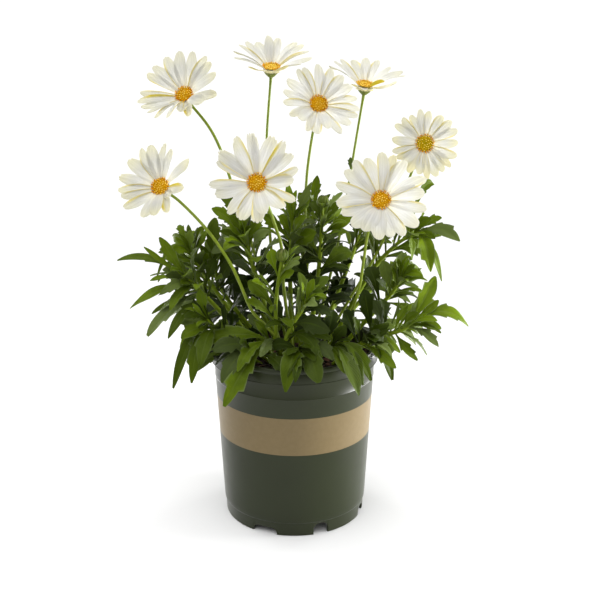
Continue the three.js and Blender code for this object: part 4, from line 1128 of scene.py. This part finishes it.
def make_shoots(material):
    """All leafy shoots: the CAD's leaves first, then more where there is most room."""
    rng = np.random.default_rng(21)
    bud = sum(np.array(corner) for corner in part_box("bud_front")) / 2 / MM
    plans, taken = [], []
    for flower in FLOWERS:
        line = Curve(flower["stem"])
        taken.append([line.at(t) for t in np.linspace(0.1, 1, 24)])
    for index, shoot in enumerate(SHOOTS):
        curve = Curve(shoot[1])
        leaves = cad_leaves(shoot, curve, numbers(SHOOT_SEED + index))
        plans.append((shoot[0], curve, leaves))
        taken += [samples(plan.base, plan.tip, plan.lift) for plan in leaves]
        taken.append([curve.at(t) for t in np.linspace(0.1, 1, 12)])
    cloud = np.vstack(taken)
    for name, curve, leaves in plans:
        extras, cloud = extra_leaves(rng, name, curve, cloud, bud)
        leaves += extras + tuft_leaves(rng, name, curve)
        make_shoot(rng, name, curve, leaves, material)


# ---------------------------------------------------------------- flowers and buds

def make_flower_stem(flower, material):
    """A stem that thins upwards and widens again just under the cup; one of them has a small leaf."""
    name = flower["name"]
    roots = []
    if "parent" in flower:
        parent, along = flower["parent"]
        roots = [Curve(next(shoot[1] for shoot in SHOOTS if shoot[0] == parent)).at(along)]
    head = flower["head"] + unit(flower["facing"]) * (1 - CALYX_DEPTH)
    curve = Curve([*roots, *flower["stem"], head])
    radii = [FLOWER_STEM_RADIUS * (1.12 - 0.22 * s + 0.33 * max(0, s - 0.96) / 0.04)
             for s in np.linspace(0, 1, 46)]
    shape = Shape()
    tube(shape, curve, radii, 12, (0.85, 0, 0))
    if "leaflet" in flower:
        along, tip = flower["leaflet"]
        plan = Plan(along, curve.at(along), tip, 4.5, 1, curve.along(along), True)
        leaf(shape, np.random.default_rng(9), plan, young=0, tint=0.1)
    shape.piece("flower_stem_" + name, material, "stem_" + name, sharp=60)


def petal_bearing(rng, width, marks):
    """How far a petal leans over, rolls up and bows, and its width."""
    lean, roll, bow = rng.normal() * 0.1, rng.uniform(0.1, 0.6), rng.uniform(0.02, 0.07)
    if rng.random() < 0.2:
        roll = rng.uniform(-0.5, 0.1)
    if "e" in marks:
        lean, width = math.radians(24 if width < 9 else 16), max(width, 7.5)
    if "c" in marks:
        roll, bow, width = rng.uniform(0.8, 1.2), -0.03, max(width * 1.1, 9)
    if "d" in marks:
        roll, bow = 0.2, -0.055
    return lean, roll, bow, width


def petal_yellows(marks):
    """How yellow a petal is: all over, on a fold (with where across it starts and is full), and
    under its tip."""
    fold = (1.0, 0.15, 0.5) if "Y" in marks else (0.75, 0.4, 0.72)
    if "a" in marks:
        return 1.0, fold, 1.0
    return 0.25 * ("g" in marks), fold, 0.55 if "d" in marks else 0.3 if "c" in marks else 0.1


def rolled(s, half, angle):
    """How far a point across a petal lies sideways and up, once the petal is rolled that much."""
    if abs(angle) <= 1e-3:
        return half * s, 0
    return half * (math.sin(angle * s) / angle), half * ((1 - math.cos(angle * s)) / angle)


def petal(shape, rng, ray, notch, cream, shade):
    """One ray in its head's own frame, folded and coloured as its marks say (see FLOWERS)."""
    degrees, rise, length, width, marks = (*ray, "")[:5]
    turn, rise = math.radians(degrees), math.radians(rise)
    out = level(turn) * math.cos(rise) + UP * math.sin(rise)
    start = level(turn) * RAY_START + UP * RAY_HEIGHT
    across = unit(np.cross(UP, out))
    over = np.cross(out, across)
    lean, roll, bow, width = petal_bearing(rng, width * PETAL_FULLNESS, marks)
    folds = {-1: "<" in marks, 1: ">" in marks}
    plain_yellow, (fold_yellow, fold_from, fold_to), tip_yellow = petal_yellows(marks)
    t = 1 - (1 - np.linspace(0, 1, PETAL_ROWS)) ** 1.35
    share = 0.36 + 0.64 * smooth(-0.1, 0.55, t)
    share *= 1 - 0.3 * np.clip((t - 0.7) / 0.3, 0, 1) ** 2.4
    sway, skew = rng.normal() * 0.02, rng.normal() * 0.035
    teeth = notch * rng.uniform(0.5, 1.4, 2)
    ruffle, phase = rng.uniform(0.0, 0.03), rng.uniform(0, 6.3)
    grid, normals, tones = np.zeros((3, PETAL_ROWS, len(PETAL_COLUMNS), 3))
    for r, a in enumerate(t):
        side = spun(across, out, lean * min(1, a * 2))
        face = np.cross(out, side)
        centre = start + out * length * a + (over * bow + across * sway) * length * math.sin(math.pi * a)
        angle = roll * (0.35 + 0.65 * a)
        for c, s in enumerate(PETAL_COLUMNS):
            x, z = rolled(s, width / 2 * share[r], angle)
            z += 0.03 * width * share[r] * math.cos(3 * math.pi * s) * (1 - abs(s) ** 4)
            z += ruffle * width * s * math.sin(5 * a + phase)
            yellow = plain_yellow
            if s and folds[1 if s > 0 else -1]:
                curl = smooth(0.5, 1.0, abs(s)) * math.sin(math.pi * min(1, 0.06 + a * 0.98)) ** 0.7
                x -= math.copysign(FOLD_REACH * width * curl, s)
                z += FOLD_LIFT * width * curl
                ends = smooth(0, 0.12, a) * (1 - smooth(0.75, 1, a))
                yellow = max(yellow, fold_yellow * smooth(fold_from, fold_to, abs(s)) * ends)
            cut = 0.1 * abs(s) ** 2.8 + skew * s
            cut += sum(d * math.exp(-((s - at) / 0.13) ** 2) for d, at in zip(teeth, NOTCHES_AT))
            grid[r, c] = centre + side * x + face * z - out * cut * length * smooth(0.55, 1.0, a)
            normals[r, c] = face * math.cos(angle * s) - side * math.sin(angle * s)
            tones[r, c] = (cream, shade, yellow)
    lower = np.zeros_like(grid) + (1, shade * 0.5, 0)
    lower[..., 2] = lerp(max(tip_yellow, 0.9), tip_yellow, np.minimum(1, t * 2.4))[:, None]
    blade(shape, grid, normals, PETAL_THICKNESS, PETAL_COLUMNS, t, tones, lower)


def make_rays(flower, index, place, material):
    rng = np.random.default_rng(300 + index)
    name = flower["name"]
    notch, cream, shade = LOOKS[name]
    shape = Shape()
    for ray in flower["rays"]:
        petal(shape, rng, ray, notch, cream * rng.uniform(0.6, 1.25), shade * rng.uniform(0.7, 1.3))
    shape.piece("petals_" + name, material, "rays_" + name, sharp=70, place=place)


def floret(shape, spot, way, radius, height, flare, tones):
    """A small five-sided flower that widens to its mouth."""
    side = unit(np.cross(way, [0.31, 0.2, 0.93]))
    angle = np.arange(5) * 2 * math.pi / 5
    around = np.outer(np.cos(angle), side) + np.outer(np.sin(angle), np.cross(way, side))
    loops = [spot + way * up * height + around * radius * share
             for up, share in ((0, 0.7), (0.6, 0.8), (0.88, flare), (1.0, flare * 0.55))]
    rings(shape, loops, np.repeat(tones, 5, axis=0))


def inner_florets(shape, rng):
    """Florets in a spiral over the dome of a disc, most of them lit at the mouth."""
    for k in range(INNER_FLORETS):
        share = math.sqrt((k + 0.5) / INNER_FLORETS)
        out = level(k * GOLDEN_ANGLE)
        dome = 2.8 * math.sqrt(1 - share ** 2 * 0.9) - 0.9
        way = unit(UP + out * (0.1 + 0.9 * share ** 2) + rng.normal(size=3) * 0.12)
        height = (2.1 if share > 0.7 else 1.8 if share > 0.35 else 1.4) * rng.uniform(0.7, 1.25)
        bright = rng.uniform(0.7, 1.0) if rng.random() < 0.62 else 0.0
        floret(shape, out * share * (DISC_RADIUS - 0.4) + UP * (DISC_FOOT + dome), way, 0.56, height,
               1.25 if share > 0.7 else 1.1, [(share, 0, 1)] * 2 + [(share, bright, 0)] * 2)


def rim_florets(shape, rng, lit, deep):
    """A ring of florets that lean outwards all round a disc."""
    for k in range(RIM_FLORETS):
        out = level((k + rng.uniform(-0.35, 0.35)) * 2 * math.pi / RIM_FLORETS)
        way = unit(out + UP * rng.uniform(0.35, 1.3))
        foot = out * (DISC_RADIUS - 0.9) + UP * (DISC_FOOT + 0.4)
        floret(shape, foot, way, 0.45, rng.uniform(1.5, 3.0), 0.9,
               [(1, lit, deep), (1, lit, 0.3), (1, rng.uniform(0, 0.4), 0), (1, rng.uniform(0, 0.6), 0)])


def make_disc(flower, index, place, material):
    rng = np.random.default_rng(500 + index)
    name = flower["name"]
    # A head that faces up shows its disc from the side: pale florets, with nothing deep between them
    lit, deep = (1, 0) if unit(flower["facing"])[2] > 0.85 else (0, 0.8)
    core = [((DISC_RADIUS - 0.7) * part, DISC_FOOT + up) for part, up in (
        (0, 0), (0.8, 0), (1, 0.8), (0.85, 1.4), (0.5, 2.0), (0, 2.2))]
    shape = Shape()
    lathe(shape, core, 20, (1.0, lit, 1 - lit))
    inner_florets(shape, rng)
    rim_florets(shape, rng, lit, deep)
    shape.piece("florets_" + name, material, "disc_" + name, sharp=40, place=place)


def bracts(shape, rng, count, profile, width, tone, start=0.0):
    """Pointed bracts that follow a half section of (radius, height) points."""
    t = np.linspace(0, 1, BRACT_ROWS)
    radius, height = (np.interp(t * (len(profile) - 1), range(len(profile)), part) for part in zip(*profile))
    for k in range(count):
        angle = start + (k + rng.uniform(-0.12, 0.12)) * 2 * math.pi / count
        out, side = level(angle), np.array([-math.sin(angle), math.cos(angle), 0])
        grid = np.zeros((BRACT_ROWS, len(BRACT_COLUMNS), 3))
        normals = np.zeros_like(grid)
        for r in range(BRACT_ROWS):
            h = width / 2 * (0.75 + 0.4 * math.sin(math.pi * t[r])) * (1 - t[r] ** 2.2 * 0.93)
            far, near = min(r + 1, BRACT_ROWS - 1), max(r - 1, 0)
            way = unit(out * (radius[far] - radius[near]) + UP * (height[far] - height[near]))
            normals[r] = np.cross(way, side)
            for c, s in enumerate(BRACT_COLUMNS):
                grid[r, c] = out * (radius[r] + 0.25 - 0.5 * s * s) + UP * height[r] + side * s * h
        blade(shape, grid, normals, 0.5, BRACT_COLUMNS, t, (tone * rng.uniform(0.7, 1.3), 0, 0))


def make_calyx(flower, index, place, material):
    """The green cup under a head, in two rows of bracts."""
    rng = np.random.default_rng(700 + index)
    name, low, radius = flower["name"], -CALYX_DEPTH, CALYX_RADIUS
    shape = Shape()
    lathe(shape, [(0, low), (FLOWER_STEM_RADIUS + 0.35, low), (3.2, low * 0.72), (radius * 0.68, low * 0.42),
                  (radius * 0.86, -0.9), (radius * 0.8, -0.3), (0, -0.3)], 24, (0.1, 0, 0))
    bracts(shape, rng, 12, [(2.1, low), (4.2, low * 0.66), (6.1, low * 0.33), (7.7, -0.1)], 3.6, 0.0)
    bracts(shape, rng, 12, [(1.8, low), (3.7, low * 0.75), (5.4, low * 0.5), (6.9, -1.5)], 2.8, 0.2, 0.26)
    shape.piece("bracts_" + name, material, "calyx_" + name, sharp=60, place=place)


def make_bud(name, curve, material):
    """A closed bud at the tip of its shoot, in two rows of bracts."""
    rng = np.random.default_rng(len(name))
    growth = curve.along(1)
    seat = curve.at(1) + growth * (BUD_RADIUS * 1.1 + 0.3)
    shape = Shape()

    def section(*shares):
        return [(BUD_RADIUS * out, BUD_RADIUS * up) for out, up in shares]

    lathe(shape, section((0, -1.1), (0.5, -1), (0.86, -0.6), (0.96, 0), (0.8, 0.55), (0.42, 0.95), (0, 1.02)),
          20, (0.5, 0, 0))
    bracts(shape, rng, 9, section((0.5, -1), (0.95, -0.5), (1.02, 0.1), (0.8, 0.75), (0.3, 1.12)), 3.8, 0.6)
    bracts(shape, rng, 9, section((0.5, -1.02), (0.98, -0.55), (1.06, -0.1), (0.98, 0.35)), 3.0, 0.65, 0.35)
    shape.piece("closed_" + name, material, name, sharp=60, place=(basis(growth), seat))


# ---------------------------------------------------------------- stage

def make_floor():
    mesh = bpy.data.meshes.new("floor")
    corners = [(x * FLOOR_HALF, y * FLOOR_HALF, 0) for x, y in ((-1, -1), (1, -1), (1, 1), (-1, 1))]
    mesh.from_pydata(corners, [], [(0, 1, 2, 3)])
    g = Graph("floor", Roughness=0.9, Specular_IOR_Level=0.1, Base_Color=(0.8, 0.8, 0.8, 1))
    mesh.materials.append(g.material)
    add("floor", mesh)


def make_lights():
    """A white sky, the key light and the soft boxes."""
    world = bpy.data.worlds.new("studio")
    bpy.context.scene.world = world
    world.use_nodes = True
    sky = world.node_tree.nodes["Background"]
    sky.inputs["Color"].default_value = (1, 1, 1, 1)
    sky.inputs["Strength"].default_value = SKY_POWER
    key = bpy.data.lights.new("key", "SUN")
    key.energy, key.angle = KEY_POWER, KEY_BREADTH
    add("key", key).rotation_euler = KEY_TILT
    for name, (place, width, height, power) in SOFT_BOXES.items():
        box = bpy.data.lights.new(name, "AREA")
        box.shape = "RECTANGLE"
        box.size, box.size_y, box.energy, box.spread = width, height, power, BOX_SPREAD
        lamp = add(name, box)
        lamp.location = place
        lamp.rotation_mode = "QUATERNION"
        lamp.rotation_quaternion = (Vector(AIM) - Vector(place)).to_track_quat("-Z", "Y")


def make_camera():
    data = bpy.data.cameras.new("camera")
    data.lens, data.sensor_width, data.sensor_fit = CAMERA_LENS, 36, "HORIZONTAL"
    data.clip_start, data.clip_end = 0.05, 100
    camera = add("camera", data)
    camera.location = CAMERA_PLACE
    camera.rotation_euler = (CAMERA_TILT, 0, 0)
    bpy.context.scene.camera = camera


# ---------------------------------------------------------------- build

bpy.context.scene.view_settings.view_transform = "Standard"
make_floor()
make_lights()
make_camera()
make_pot(pot_material())
make_soil(soil_material())
stem_look, petal_look, bract_look = stem_material(), petal_material(), bract_material()
golden = floret_material("floret", (0.66, 0.45, 0.026), (0.56, 0.27, 0.004))
greenish = floret_material("floret_green", (0.3, 0.26, 0.006), (0.42, 0.3, 0.004))
for number, flower in enumerate(FLOWERS):
    place = (basis(flower["facing"]), flower["head"])
    make_flower_stem(flower, stem_look)
    make_rays(flower, number, place, petal_look)
    make_disc(flower, number, place, greenish if flower["name"] == "right" else golden)
    make_calyx(flower, number, place, bract_look)
for name, line, *_ in SHOOTS:
    if name in BUDS:
        make_bud(BUDS[name], Curve(line), bract_look)
make_shoots(leaf_material())
